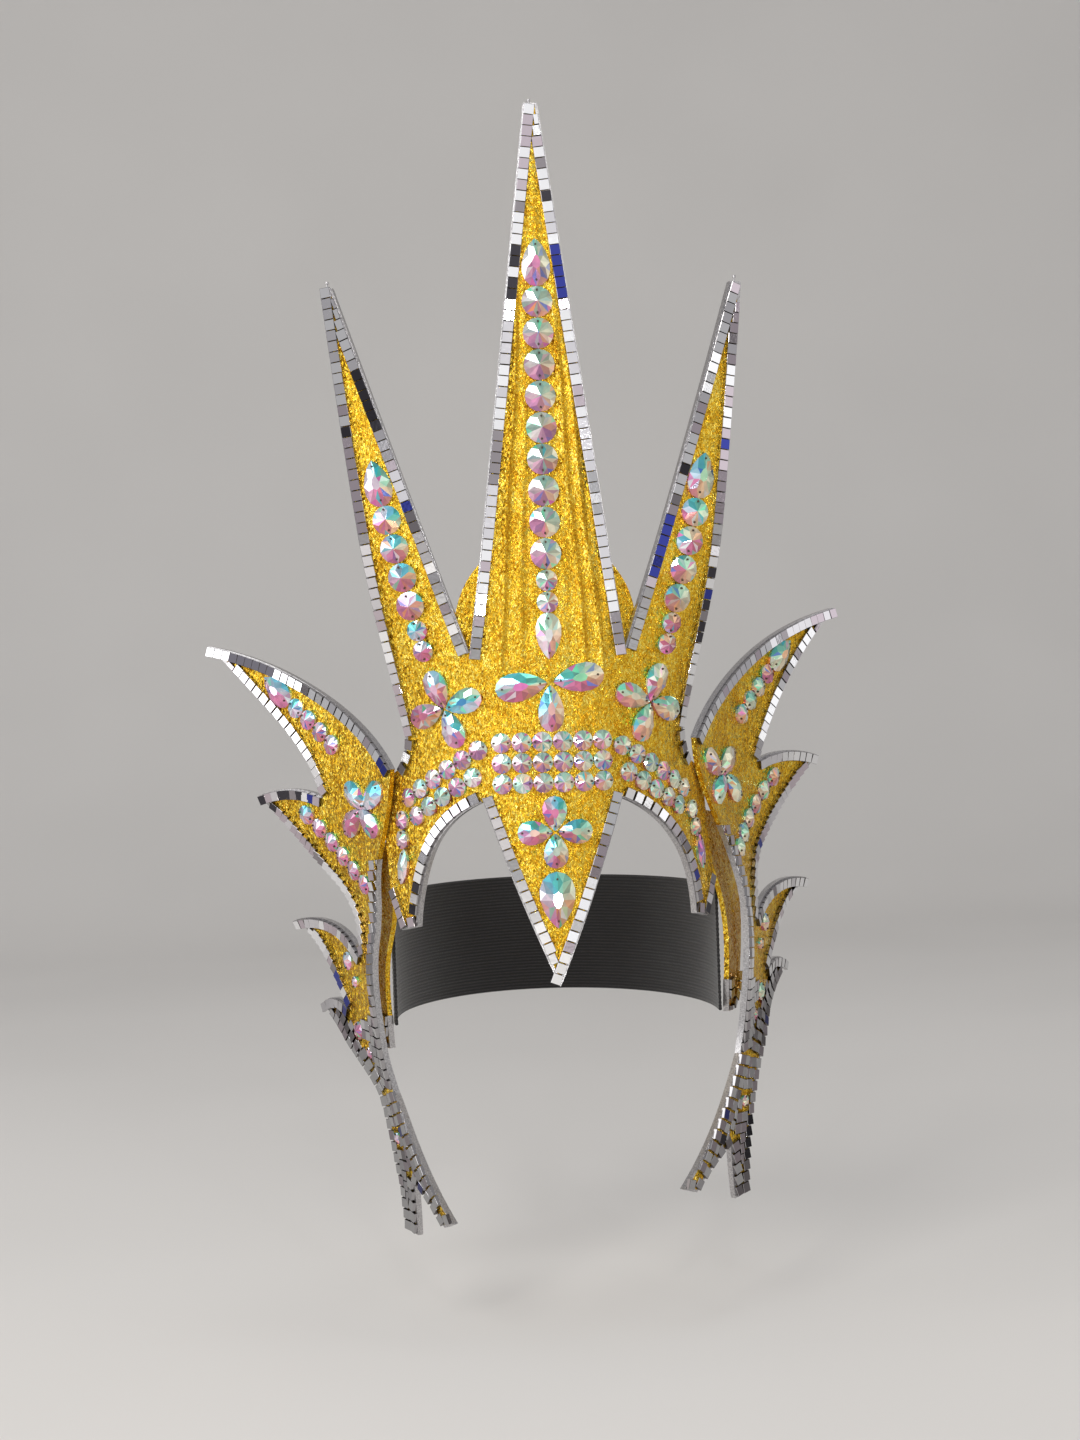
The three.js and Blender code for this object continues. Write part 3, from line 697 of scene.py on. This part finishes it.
def tile_field(placed, surface, low):
    """Tiles as points, faces and a colour for each face. Neighbours lean and shine alike in short runs."""
    seat, along, up, out = seats(surface, np.array([place for place, _, _ in placed]), low)
    shapes, faces, colours = [], [], []
    shades = [linear(*colour) for colour, _ in TINTS]
    odds = [share for _, share in TINTS]
    side_tint, gap_shadow = linear(*TILE_SIDE), linear(*PAINTED_GAP_SHADOW)
    left_in_run = 0
    for i, (place, heading, wide) in enumerate(placed):
        if left_in_run == 0:
            left_in_run = rng.integers(ALIKE["fewest"], ALIKE["over"])
            run_lean = rng.normal(0, ALIKE["lean"], 2)
            run_shade = rng.choice(len(TINTS), p=odds)
        left_in_run -= 1
        shade = run_shade if rng.random() < ALIKE["odds"] else rng.choice(len(TINTS), p=odds)
        lean = run_lean + rng.normal(0, TILE_LEAN, 2)
        ahead = along[i] * heading[0] + up[i] * heading[1]
        side = np.cross(out[i], ahead)
        normal = unit(out[i] + lean[0] * ahead + lean[1] * side)
        ahead = unit(ahead - normal * (ahead @ normal))
        template, template_faces = tile_template(wide)
        points = seat[i] + template @ np.array([ahead, np.cross(normal, ahead), normal])
        first = len(template) * i
        shapes.append(points)
        turned = facing_out(points - points.mean(0), template_faces)
        faces += [tuple(first + k for k in face) for face in turned]
        # Painted shade, darker low on the stems
        shine = mix(1, PAINTED_STEM_SHADE["least"], smooth(PAINTED_STEM_SHADE["high"], PAINTED_STEM_SHADE["low"], place[1]))
        glass = shades[shade] * rng.uniform(TILE_DIMMEST, 1.0) * shine
        # The ends that face the next tiles are painted dark, as painted shadow in the gaps between tiles
        colours += [glass, side_tint] + [side_tint, gap_shadow] * 4
    return np.vstack(shapes), faces, colours


def tape_strip(runs, surface, low, high):
    """A thin channel of tape over the panel's edge along the runs."""
    path = np.vstack([runs[0][:1]] + [run[1:] for run in runs])
    before = unit(path - np.vstack([path[0] * 2 - path[1], path[:-1]]))
    after = unit(np.vstack([path[1:], path[-1] * 2 - path[-2]]) - path)
    ahead = unit(before + after + TINY)
    inwards = np.column_stack([ahead[:, 1], -ahead[:, 0]])
    skin = TAPE_THICK
    profile = (
        (TAPE_LIP, high), (TAPE_LIP, high + skin), (-skin, high + skin),
        (-skin, low - skin), (TAPE_LIP, low - skin), (TAPE_LIP, low), (0, low), (0, high),
    )
    return loft([surface(path + inwards * reach, height) for reach, height in profile])


def edging(node, rows, first, last, surface, low, high, order=1):
    """Tiles and tape along the edges between two corners. The order says which end is tiled first."""
    runs = run_of(rows, first, last, EDGE_STEP)
    tiles, tile_faces, colours = tile_field(tile_places(runs[::order]), surface, high + GAP)
    tape, tape_faces = tape_strip(runs, surface, low, high)
    points = np.vstack([tiles, tape])
    faces = tile_faces + [tuple(i + len(tiles) for i in face) for face in tape_faces]
    mesh = make_mesh(node + "_tiles", points, faces, "tile")
    add_piece(node + "_tiles", mesh, [MIRROR, TAPE], node)
    mesh.polygons.foreach_set("material_index", [0] * len(tile_faces) + [1] * len(tape_faces))
    paint(mesh, np.vstack([colours, np.ones((len(tape_faces), 3))]))


# Stones

SECTORS = 8
RIM = 2 * SECTORS
GIRDLE = 0.9
GIRDLE_DIP = 0.62
CROWN = 3.4
CROWN_SHARE = 0.27
TABLE = {"round": 0.05, "drop": 0.3, "marquise": 0.2}
WAIST = 0.66
WAIST_BULGE = 0.12
DROP_FULLEST = 0.84
DROP_ROUND = 0.6
MARQUISE_ROUND = 0.4
# Sew holes: radius, place as shares of the length and the crown's height, depth, and how far they stand out
SEW = {"radius": 0.5, "along": 0.37, "up": 0.4, "sunk": 1, "proud": 0.4}
# Colours of the coating round a stone by the way a facet leans, from its right, anticlockwise: the coating's
# own tints with painted light and shade laid on by direction, a painted highlight on facets that face right
# and painted shade on those that face down
WARM_FILM_WITH_LIGHT = (
    (252, 242, 208), (206, 218, 188), (158, 208, 186), (206, 232, 216),
    (250, 228, 228), (226, 150, 188), (172, 112, 160), (240, 172, 140),
)
COOL_FILM_WITH_LIGHT = (
    (246, 234, 200), (176, 226, 190), (76, 194, 180), (104, 202, 226),
    (238, 228, 238), (226, 128, 172), (204, 104, 128), (238, 184, 140),
)
# Colours of painted glints that flash in a facet now and then
GLINT_COLOURS = (
    (40, 200, 210), (70, 120, 214), (234, 96, 180), (250, 156, 90), (110, 236, 180), (255, 255, 250),
)
GLINT = {"odds": 0.24, "least": 0.3, "most": 0.9}
# How stones differ: turn of the film, brightness of a stone, and brightness of a facet
FILM_TURN = 0.7
STONE_GLOW = (0.85, 1.1)
FACET_GLOW = (0.7, 1.2)


def outline_at(shape, wide, long, angles):
    """A stone's outline, with the point of a drop at the top."""
    across = np.sin(angles)
    if shape == "drop":
        across = across * np.sin(angles / 2) ** DROP_ROUND / DROP_FULLEST
    if shape == "marquise":
        across = across * np.abs(np.sin(angles)) ** MARQUISE_ROUND
    return np.column_stack([across * wide / 2, np.cos(angles) * long / 2])


def drawn_size(cut):
    """Width and length. A round stone of a string just clears the next one."""
    shape, wide, long = CUTS[cut]
    if shape == "round":
        wide = long = long - FUSE - SEAM
    return wide, long


def crown_height(wide):
    return min(CROWN, CROWN_SHARE * wide)


def stone_template(cut):
    """A stone's points and facets: a flat back, a girdle, and kites up to a small table."""
    shape = CUTS[cut][0]
    wide, long = drawn_size(cut)
    height = crown_height(wide)
    table_share = TABLE[shape]
    corners = 2 * math.pi * np.arange(RIM) / RIM
    girdle = outline_at(shape, wide, long, corners)
    dip = np.where(np.arange(RIM) % 2, GIRDLE_DIP, 1.0) * GIRDLE
    waist = outline_at(shape, wide * WAIST, long * WAIST, corners[1::2])
    table = outline_at(shape, wide * table_share, long * table_share, corners[::2])
    flat = np.vstack([girdle, girdle, waist, table])
    rise = mix(GIRDLE, height, (1 - WAIST) / (1 - table_share)) + WAIST_BULGE
    heights = np.concatenate([np.full(RIM, -GAP), dip, np.full(SECTORS, rise), np.full(SECTORS, height)])
    points = np.column_stack([flat, heights])
    first_waist = 2 * RIM
    first_table = first_waist + SECTORS
    facets = [tuple(range(RIM)), tuple(reversed(range(first_table, first_table + SECTORS)))]
    for k in range(RIM):
        facets.append((k, RIM + k, RIM + (k + 1) % RIM, (k + 1) % RIM))
    for k in range(SECTORS):
        start, middle, end = RIM + 2 * k, RIM + 2 * k + 1, RIM + (2 * k + 2) % RIM
        belt = first_waist + k
        top, following = first_table + k, first_table + (k + 1) % SECTORS
        facets += [(start, top, belt), (top, following, belt), (following, end, belt)]
        facets += [(start, belt, middle), (middle, belt, end)]
    return points, facets


def hole_template(cut):
    """The two sew holes' middles, near the ends of the stone."""
    wide, long = drawn_size(cut)
    reach = SEW["along"] * long
    height = GIRDLE + SEW["up"] * (crown_height(wide) - GIRDLE)
    return ((0, reach, height), (0, -reach, height))


def film_and_light_colour(film, normal, spin):
    """The coating's colour for a facet that leans this way, between its two nearest samples, with painted
    light and shade by the facet's direction, and now and then a painted glint.
    """
    turn = (math.atan2(normal[2], normal[0]) + spin) / (2 * math.pi) * len(film)
    low = math.floor(turn)
    a, b = (linear(*film[k % len(film)]) for k in (low, low + 1))
    colour = mix(a, b, turn - low)
    # Now and then a painted glint
    if rng.random() < GLINT["odds"]:
        flash = linear(*GLINT_COLOURS[rng.integers(len(GLINT_COLOURS))])
        colour = mix(colour, flash, rng.uniform(GLINT["least"], GLINT["most"]))
    return colour


def stub(middle, across, ahead, out, radius, low, high, sides=6):
    """A short prism that stands on a place."""
    spokes = 2 * math.pi * np.arange(sides) / sides
    rim = middle + radius * (np.outer(np.cos(spokes), across) + np.outer(np.sin(spokes), ahead))
    points = np.vstack([rim + low * out, rim + high * out])
    faces = [tuple(range(sides)), tuple(range(2 * sides - 1, sides - 1, -1))]
    faces += [(k, sides + k, sides + (k + 1) % sides, (k + 1) % sides) for k in range(sides)]
    return points, facing_out(points - points.mean(0), faces)


def stone_field(stones, surface, low, film):
    """Stones as points, faces, colours and material numbers."""
    places = np.array([(u, v) for _, u, v, _ in stones], float)
    seat, along, up, out = seats(surface, places, low)
    shapes, faces, colours, finishes = [], [], [], []
    count = 0
    for i, (cut, _, _, turn) in enumerate(stones):
        template, facets = stone_template(cut)
        angle = math.radians(turn)
        right = along[i] * math.cos(angle) + up[i] * math.sin(angle)
        ahead = up[i] * math.cos(angle) - along[i] * math.sin(angle)
        basis = np.array([right, ahead, out[i]])
        points = seat[i] + template @ basis
        facets = facing_out(points - points.mean(0), facets)
        spin = rng.normal(0, FILM_TURN)
        glow = rng.uniform(*STONE_GLOW)
        for facet in facets:
            a, b, c = points[facet[0]], points[facet[1]], points[facet[-1]]
            normal = unit(np.cross(b - a, c - a))
            colour = film_and_light_colour(film, normal, spin) * glow * rng.uniform(*FACET_GLOW)
            colours.append(np.clip(colour, 0, 1))
        faces += [tuple(count + k for k in facet) for facet in facets]
        finishes += [0] * len(facets)
        shapes.append(points)
        count += len(points)
        for hole in hole_template(cut):
            middle = seat[i] + np.array(hole) @ basis
            prism, sides = stub(middle, right, ahead, out[i], SEW["radius"], -SEW["sunk"], SEW["proud"])
            faces += [tuple(count + k for k in side) for side in sides]
            colours += [np.zeros(3)] * len(sides)
            finishes += [1] * len(sides)
            shapes.append(prism)
            count += len(prism)
    return np.vstack(shapes), faces, colours, finishes


def add_stones(name, stones, surface, low, node, film):
    points, faces, colours, finishes = stone_field(stones, surface, low, film)
    mesh = make_mesh(name, points, faces, "facet")
    add_piece(name, mesh, [CRYSTAL, HOLE], node)
    mesh.polygons.foreach_set("material_index", finishes)
    paint(mesh, np.array(colours))


def stone_string(start, towards, cuts, surface, low):
    """Stones from one place towards another, each touching the one before it on the surface."""
    place = np.array(start, float)
    along = unit(np.array(towards, float) - place)
    onward = math.degrees(math.atan2(-along[0], along[1]))
    stones = []
    for i, cut in enumerate(cuts):
        if i > 0:
            step = (CUTS[cuts[i - 1]][2] + CUTS[cut][2]) / 2 - FUSE
            pair = surface(np.array([place, place + along * step]), low)
            place = place + along * step ** 2 / np.linalg.norm(pair[1] - pair[0])
        stones.append((cut, *place, onward + 180 if i == 0 else onward))
    return stones


def stone_cross(centre, *kinds):
    """Drops round a centre, each turned so far from straight down."""
    stones = []
    for cut, turns, reach in kinds:
        for turn in turns:
            angle = math.radians(turn)
            u = centre[0] + reach * math.sin(angle)
            v = centre[1] - reach * math.cos(angle)
            stones.append((cut, u, v, turn))
    return stones


# Strings of stones: the first one's place, the place that they run towards, and their cuts
BAND_ROW_HALF = 21.75
BAND_ROW = ["small"] * 6
STRINGS = {
    "blade_column": ((0, 246), (0, 0), ["crown_drop"] + ["large"] * 9 + ["middle"] * 2 + ["drop"]),
    "band_row_upper": ((-BAND_ROW_HALF, 27), (BAND_ROW_HALF, 27), BAND_ROW),
    "band_row_middle": ((-BAND_ROW_HALF, 17.6), (BAND_ROW_HALF, 17.6), BAND_ROW),
    "band_row_lower": ((-BAND_ROW_HALF, 8.2), (BAND_ROW_HALF, 8.2), BAND_ROW),
    "peak_drop": ((0, -45.5), (0, 0), ["peak_drop"]),
    "spike_column": ((75.5, 148.3), (57, 68.3), ["crown_drop"] + ["spike"] * 4 + ["middle"] * 2),
    "arch_upper": ((33, 24), (78, -0.5), ["arch"] * 6),
    "arch_lower": ((36, 11.5), (81, -13), ["arch"] * 5),
    "temple_stones": ((79, -8), (84, -35), ["arch", "arch", "marquise"]),
    "wing_column": ((84, 61), (43, 26), ["drop"] + ["middle"] * 4),
    "flame_stones": ((72, -0.8), (26, -27), ["middle"] * 6),
}
# Crosses: the centre, and each kind of drop with its cut, its turns from straight down, and its reach
CROSSES = {
    "blade_cross": ((0, 54), ("arm", (98, -83), 12.6), ("drop", (0,), 12)),
    "peak_cross": ((0, -14.5), ("short_arm", (0, 90, 180, -90), 8.6)),
    "spike_cross": ((48.5, 43.5), ("petal", (160, 75, -20, -108), 9.8)),
    "wing_cross": ((24, 2), ("petal", (130, 50, -50, -130), 9.6)),
}
# Sets of stones in the order in which they are made: string or cross, name of the piece, and film with its
# painted light and shade
BLADE_SETS = (
    ("blade_column", "blade_column_stones", WARM_FILM_WITH_LIGHT),
    ("blade_cross", "blade_cross_stones", COOL_FILM_WITH_LIGHT),
    ("band_row_upper", "band_row_upper_stones", WARM_FILM_WITH_LIGHT),
    ("band_row_middle", "band_row_middle_stones", WARM_FILM_WITH_LIGHT),
    ("band_row_lower", "band_row_lower_stones", WARM_FILM_WITH_LIGHT),
    ("peak_cross", "peak_cross_stones", COOL_FILM_WITH_LIGHT),
    ("peak_drop", "peak_drop_stone", COOL_FILM_WITH_LIGHT),
)
BAND_SETS = (
    ("spike_column", "spike_column_stones", COOL_FILM_WITH_LIGHT),
    ("spike_cross", "spike_cross_stones", COOL_FILM_WITH_LIGHT),
    ("arch_upper", "arch_upper_stones", WARM_FILM_WITH_LIGHT),
    ("arch_lower", "arch_lower_stones", WARM_FILM_WITH_LIGHT),
    ("temple_stones", "temple_cut", WARM_FILM_WITH_LIGHT),
)
WING_SETS = (
    ("wing_column", "wing_column_stones", COOL_FILM_WITH_LIGHT),
    ("wing_cross", "wing_cross_stones", COOL_FILM_WITH_LIGHT),
    ("flame_stones", "flame_cut", COOL_FILM_WITH_LIGHT),
)


def add_sets(sets, surface, low, prefix=""):
    """Strings and crosses, each in place of the node that has its name."""
    for key, name, film in sets:
        if key in CROSSES:
            stones = stone_cross(*CROSSES[key])
        else:
            stones = stone_string(*STRINGS[key], surface, low)
        add_stones(prefix + name, stones, surface, low, prefix + key, film)


# Front panels with their edging and stones

ON_BAND = BAND_TOP + GAP
ON_BLADE = BLADE_TOP + GAP
ON_WING = WING_TOP + GAP

front = front_surface()
blade = mirrored(BLADE)
panel("front_band", mirrored(BAND), front, 0, BAND_TOP)
panel("centre_blade", blade, front, BLADE_LOW, BLADE_TOP, blade_relief, BLADE_GRID)
panel("back_plate", PLATE, front, PLATE_TOP - SHEET, PLATE_TOP)
edging("blade_trim", blade, "left shoulder", "shoulder", front, BLADE_LOW, BLADE_TOP)
edging("peak_trim", blade, "brow", "left brow", front, BLADE_LOW, BLADE_TOP)
add_sets(BLADE_SETS, front, ON_BLADE)

# Each side

# Small stones on the stem: cut, place and turn
STEM_STONES = (
    ("small", 29, -74, 0),
    ("stem", 20, -84, 0),
    ("arch", 22, -108, 0),
    ("stem", 13, -118, 0),
    ("stem", 11, -159, 0),
)


def add_side(name, side, inset, narrow, tuck, tail, twist, lean):
    band = front_surface(side)
    wing = wing_surface(side, inset, narrow, tuck, tail, twist)
    tab = tab_surface(wing, lean)
    prefix = name + "_"

    edging(prefix + "spike_trim", BAND_HALF, "valley", "notch", band, 0, BAND_TOP, order=side)
    edging(prefix + "arch_trim", BAND_HALF, "lap foot", "brow", band, 0, BAND_TOP)
    add_sets(BAND_SETS, band, ON_BAND, prefix)

    panel(prefix + "wing", WING, wing, WING_LOW, WING_TOP)
    edging(prefix + "wing_trim", WING_EDGED, "root", "trim top", wing, WING_LOW, WING_TOP)
    add_sets(WING_SETS, wing, ON_WING, prefix)
    add_stones(prefix + "stem_stones", STEM_STONES, wing, ON_WING, None, COOL_FILM_WITH_LIGHT)

    panel(prefix + "side_tab", TAB, tab, TAB_TOP - SHEET, TAB_TOP)
    edging(prefix + "tab_trim", TAB, "back foot", "front foot", tab, TAB_TOP - SHEET, TAB_TOP)


for row in SIDES:
    add_side(**row)


# The strap round the back of the head

# Ribs: pitch, depth, plain border, points in a pitch, and where the points start and stop at the edges
RIB = {"pitch": 2.6, "depth": 0.22, "border": 3, "points": 4, "first": 0.4, "last": 0.2}


def strap_profile():
    """Points round the strap's cut: up one face with its ribs, back down the other."""
    low, high, thick = STRAP["low"], STRAP["high"], STRAP["thick"]
    heights = np.arange(low + RIB["first"], high - RIB["last"], RIB["pitch"] / RIB["points"])
    inner = (heights > low + RIB["border"]) & (heights < high - RIB["border"])
    sunk = RIB["depth"] * (0.5 + 0.5 * np.cos(2 * math.pi * (heights - low) / RIB["pitch"])) * inner
    outer_face = list(zip(sunk, heights))
    inner_face = list(zip(thick - sunk, heights))
    return [(thick / 2, low)] + outer_face + [(thick / 2, high)] + inner_face[::-1]


def strap():
    angles = np.radians(np.linspace(STRAP["from"], 180 - STRAP["from"], STRAP["steps"] + 1))
    lines = []
    for inwards, height in strap_profile():
        x = ASKEW["wing"] + (STRAP["wide"] - inwards) * np.cos(angles)
        y = (STRAP["deep"] - inwards) * np.sin(angles)
        lines.append(np.column_stack([x, y, np.full(len(angles), height)]))
    mesh = make_mesh("strap_band", *loft(lines), "strap")
    band = add_piece("strap_band", mesh, [WEBBING], "back_strap")


strap()


# Wire ends that stand out of the three tips: name, side, place on the pattern, and distance off the head

WIRES = (
    ("blade", 1, -0.5, 317, BLADE_LOW + 1),
    ("left_spike", -1, 97, 239, 1.2),
    ("right_spike", 1, 97.5, 239, 1.2),
)
WIRE = {"radius": 0.45, "sunk": 3, "proud": 3.6, "sides": 8}
BEAD = {"radius": 0.8, "low": -0.4, "high": 0.7}


def add_wire(name, side, u, v, off):
    surface = front_surface(side)
    ends = surface(np.array([(u, v - WIRE["sunk"]), (u, v + WIRE["proud"])], float), off)
    axis = unit(ends[1] - ends[0])
    across = unit(np.cross(axis, (0, 1, 0)))
    ahead = np.cross(axis, across)
    length = np.linalg.norm(ends[1] - ends[0])
    sides = WIRE["sides"]
    wire, wire_faces = stub(ends[0], across, ahead, axis, WIRE["radius"], 0, length, sides)
    bead, bead_faces = stub(ends[1], across, ahead, axis, BEAD["radius"], BEAD["low"], BEAD["high"], sides)
    points = np.vstack([wire, bead])
    faces = wire_faces + [tuple(len(wire) + k for k in face) for face in bead_faces]
    add_piece(name + "_wire", make_mesh(name + "_wire", points, faces, "wire"), [TAPE])


for row in WIRES:
    add_wire(*row)


# Rows of tiles that fill the stems between their edges

STEM_FILL = {"top": -101, "rows": 3, "edges": ("stem back", "rear tail", "stem front", "stem top")}
WING_KEYS = ("side", "inset", "narrow", "tuck", "tail", "twist")


def moved_in(run, reach):
    """A run of edging, moved inwards."""
    ahead = unit(np.gradient(run, axis=0))
    return run + reach * np.column_stack([ahead[:, 1], -ahead[:, 0]])


def stem_places():
    """Tiles on the stem and the fourth flame, clear of the edging and of the stones."""
    edges = dict(edges_of(WING, EDGE_STEP))
    border = border_of(WING)
    edged = tile_places(run_of(WING_EDGED, "root", "trim top", EDGE_STEP))
    laid = [rectangle(place, ahead, TILE_SIZE, wide) for place, ahead, wide in edged]
    for cut, u, v, _ in STEM_STONES:
        laid.append(rectangle(np.array([u, v]), np.array([1, 0]), *drawn_size(cut)))
    reaches = [k * TILE_PITCH for k in range(1, STEM_FILL["rows"] + 1)]
    runs = [moved_in(edges[end], reach) for reach in reaches for end in STEM_FILL["edges"]]
    placed = []
    for place, ahead, wide in tile_places(runs, laid):
        within = inside(rectangle(place, ahead, TILE_SIZE, wide), border).all()
        if within and place[1] < STEM_FILL["top"]:
            placed.append((place, ahead, wide))
    return placed


stem_tiles = stem_places()
for row in SIDES:
    wing = wing_surface(**{key: row[key] for key in WING_KEYS})
    points, faces, colours = tile_field(stem_tiles, wing, ON_WING)
    mesh = make_mesh(row["name"] + "_stem_tiles", points, faces, "tile")
    add_piece(row["name"] + "_stem_tiles", mesh, [MIRROR])
    paint(mesh, np.array(colours))


# Stage, light and camera, with lengths in metres except the camera's place

STAGE = {"floor": -0.26, "front": -5, "depth": 3.2, "bend": 1.4, "steps": 16, "height": 4.5, "half": 5}
WHITE = (1, 1, 1)
WARM_WHITE = (1, 0.97, 0.93)
SPARK = {"size": 0.06, "power": 1.1}
LIGHT_TARGET = (0, -0.05, 0.05)
# Lights: name, place, size, power and colour
LIGHTS = (
    ("wall", (0.2, -2.9, 0.7), 2.6, 10, WHITE),
    ("left_wall", (-2.3, -0.8, 0.6), 1.8, 22, WHITE),
    ("right_wall", (2.3, -0.8, 0.4), 1.8, 6.5, WHITE),
    ("key", (-0.95, -1.5, 1.3), 0.7, 14, WARM_WHITE),
    ("top", (0.1, -0.3, 1.8), 0.8, 4, WHITE),
    ("spark_left", (-0.4, -1.5, 0.1), SPARK["size"], SPARK["power"], WHITE),
    ("spark_right", (0.35, -1.5, 0.25), SPARK["size"], SPARK["power"], WHITE),
    ("spark_high", (-0.05, -1.5, 0.7), SPARK["size"], SPARK["power"], WHITE),
    ("spark_low", (0.1, -1.5, -0.2), SPARK["size"], SPARK["power"], WHITE),
)
WORLD = {"colour": (0.8, 0.79, 0.8, 1), "strength": 0.55}
CAMERA = {"place": (-91.83, -1075.79, 36.99), "azimuth": -5, "roll": 2, "lens": 54.35, "sensor": 36}


def add_stage():
    """A pale floor that sweeps up into a backdrop."""
    level, bend, steps, half = STAGE["floor"], STAGE["bend"], STAGE["steps"], STAGE["half"]
    start = STAGE["depth"] - bend
    line = [(STAGE["front"], level), (start, level)]
    for k in range(1, steps + 1):
        angle = math.pi / 2 * k / steps
        line.append((start + bend * math.sin(angle), level + bend * (1 - math.cos(angle))))
    line.append((STAGE["depth"], STAGE["height"]))
    points = [(x, y, z) for y, z in line for x in (-half, half)]
    faces = [(2 * k, 2 * k + 1, 2 * k + 3, 2 * k + 2) for k in range(len(line) - 1)]
    mesh = bpy.data.meshes.new("floor")
    mesh.from_pydata(points, [], faces)
    mesh.shade_smooth()
    mesh.materials.append(paper())
    floor = bpy.data.objects.new("floor", mesh)
    bpy.context.scene.collection.objects.link(floor)


def add_light(name, place, size, power, colour):
    data = bpy.data.lights.new(name, "AREA")
    data.size = size
    data.energy = power
    data.color = colour
    light = bpy.data.objects.new(name, data)
    light.location = place
    light.rotation_euler = (Vector(LIGHT_TARGET) - Vector(place)).to_track_quat("-Z", "Y").to_euler()
    bpy.context.scene.collection.objects.link(light)


def add_world():
    world = bpy.data.worlds.new("studio")
    bpy.context.scene.world = world
    world.use_nodes = True
    background = world.node_tree.nodes["Background"]
    background.inputs["Color"].default_value = WORLD["colour"]
    background.inputs["Strength"].default_value = WORLD["strength"]


def add_camera():
    azimuth, roll = math.radians(CAMERA["azimuth"]), math.radians(CAMERA["roll"])
    ahead = Vector((-math.sin(azimuth), math.cos(azimuth), 0))
    right = Vector((math.cos(azimuth), math.sin(azimuth), 0))
    up = Vector((0, 0, 1))
    turned_right = right * math.cos(roll) - up * math.sin(roll)
    turned_up = up * math.cos(roll) + right * math.sin(roll)
    data = bpy.data.cameras.new("camera")
    data.sensor_width = CAMERA["sensor"]
    data.lens = CAMERA["lens"]
    camera = bpy.data.objects.new("camera", data)
    basis = Matrix((turned_right, turned_up, -ahead)).transposed()
    camera.matrix_world = Matrix.Translation(Vector(CAMERA["place"]) * MM) @ basis.to_4x4()
    bpy.context.scene.collection.objects.link(camera)
    bpy.context.scene.camera = camera


add_stage()
for row in LIGHTS:
    add_light(*row)
add_world()
add_camera()
bpy.context.scene.view_settings.view_transform = "Standard"

bpy.context.view_layer.update()
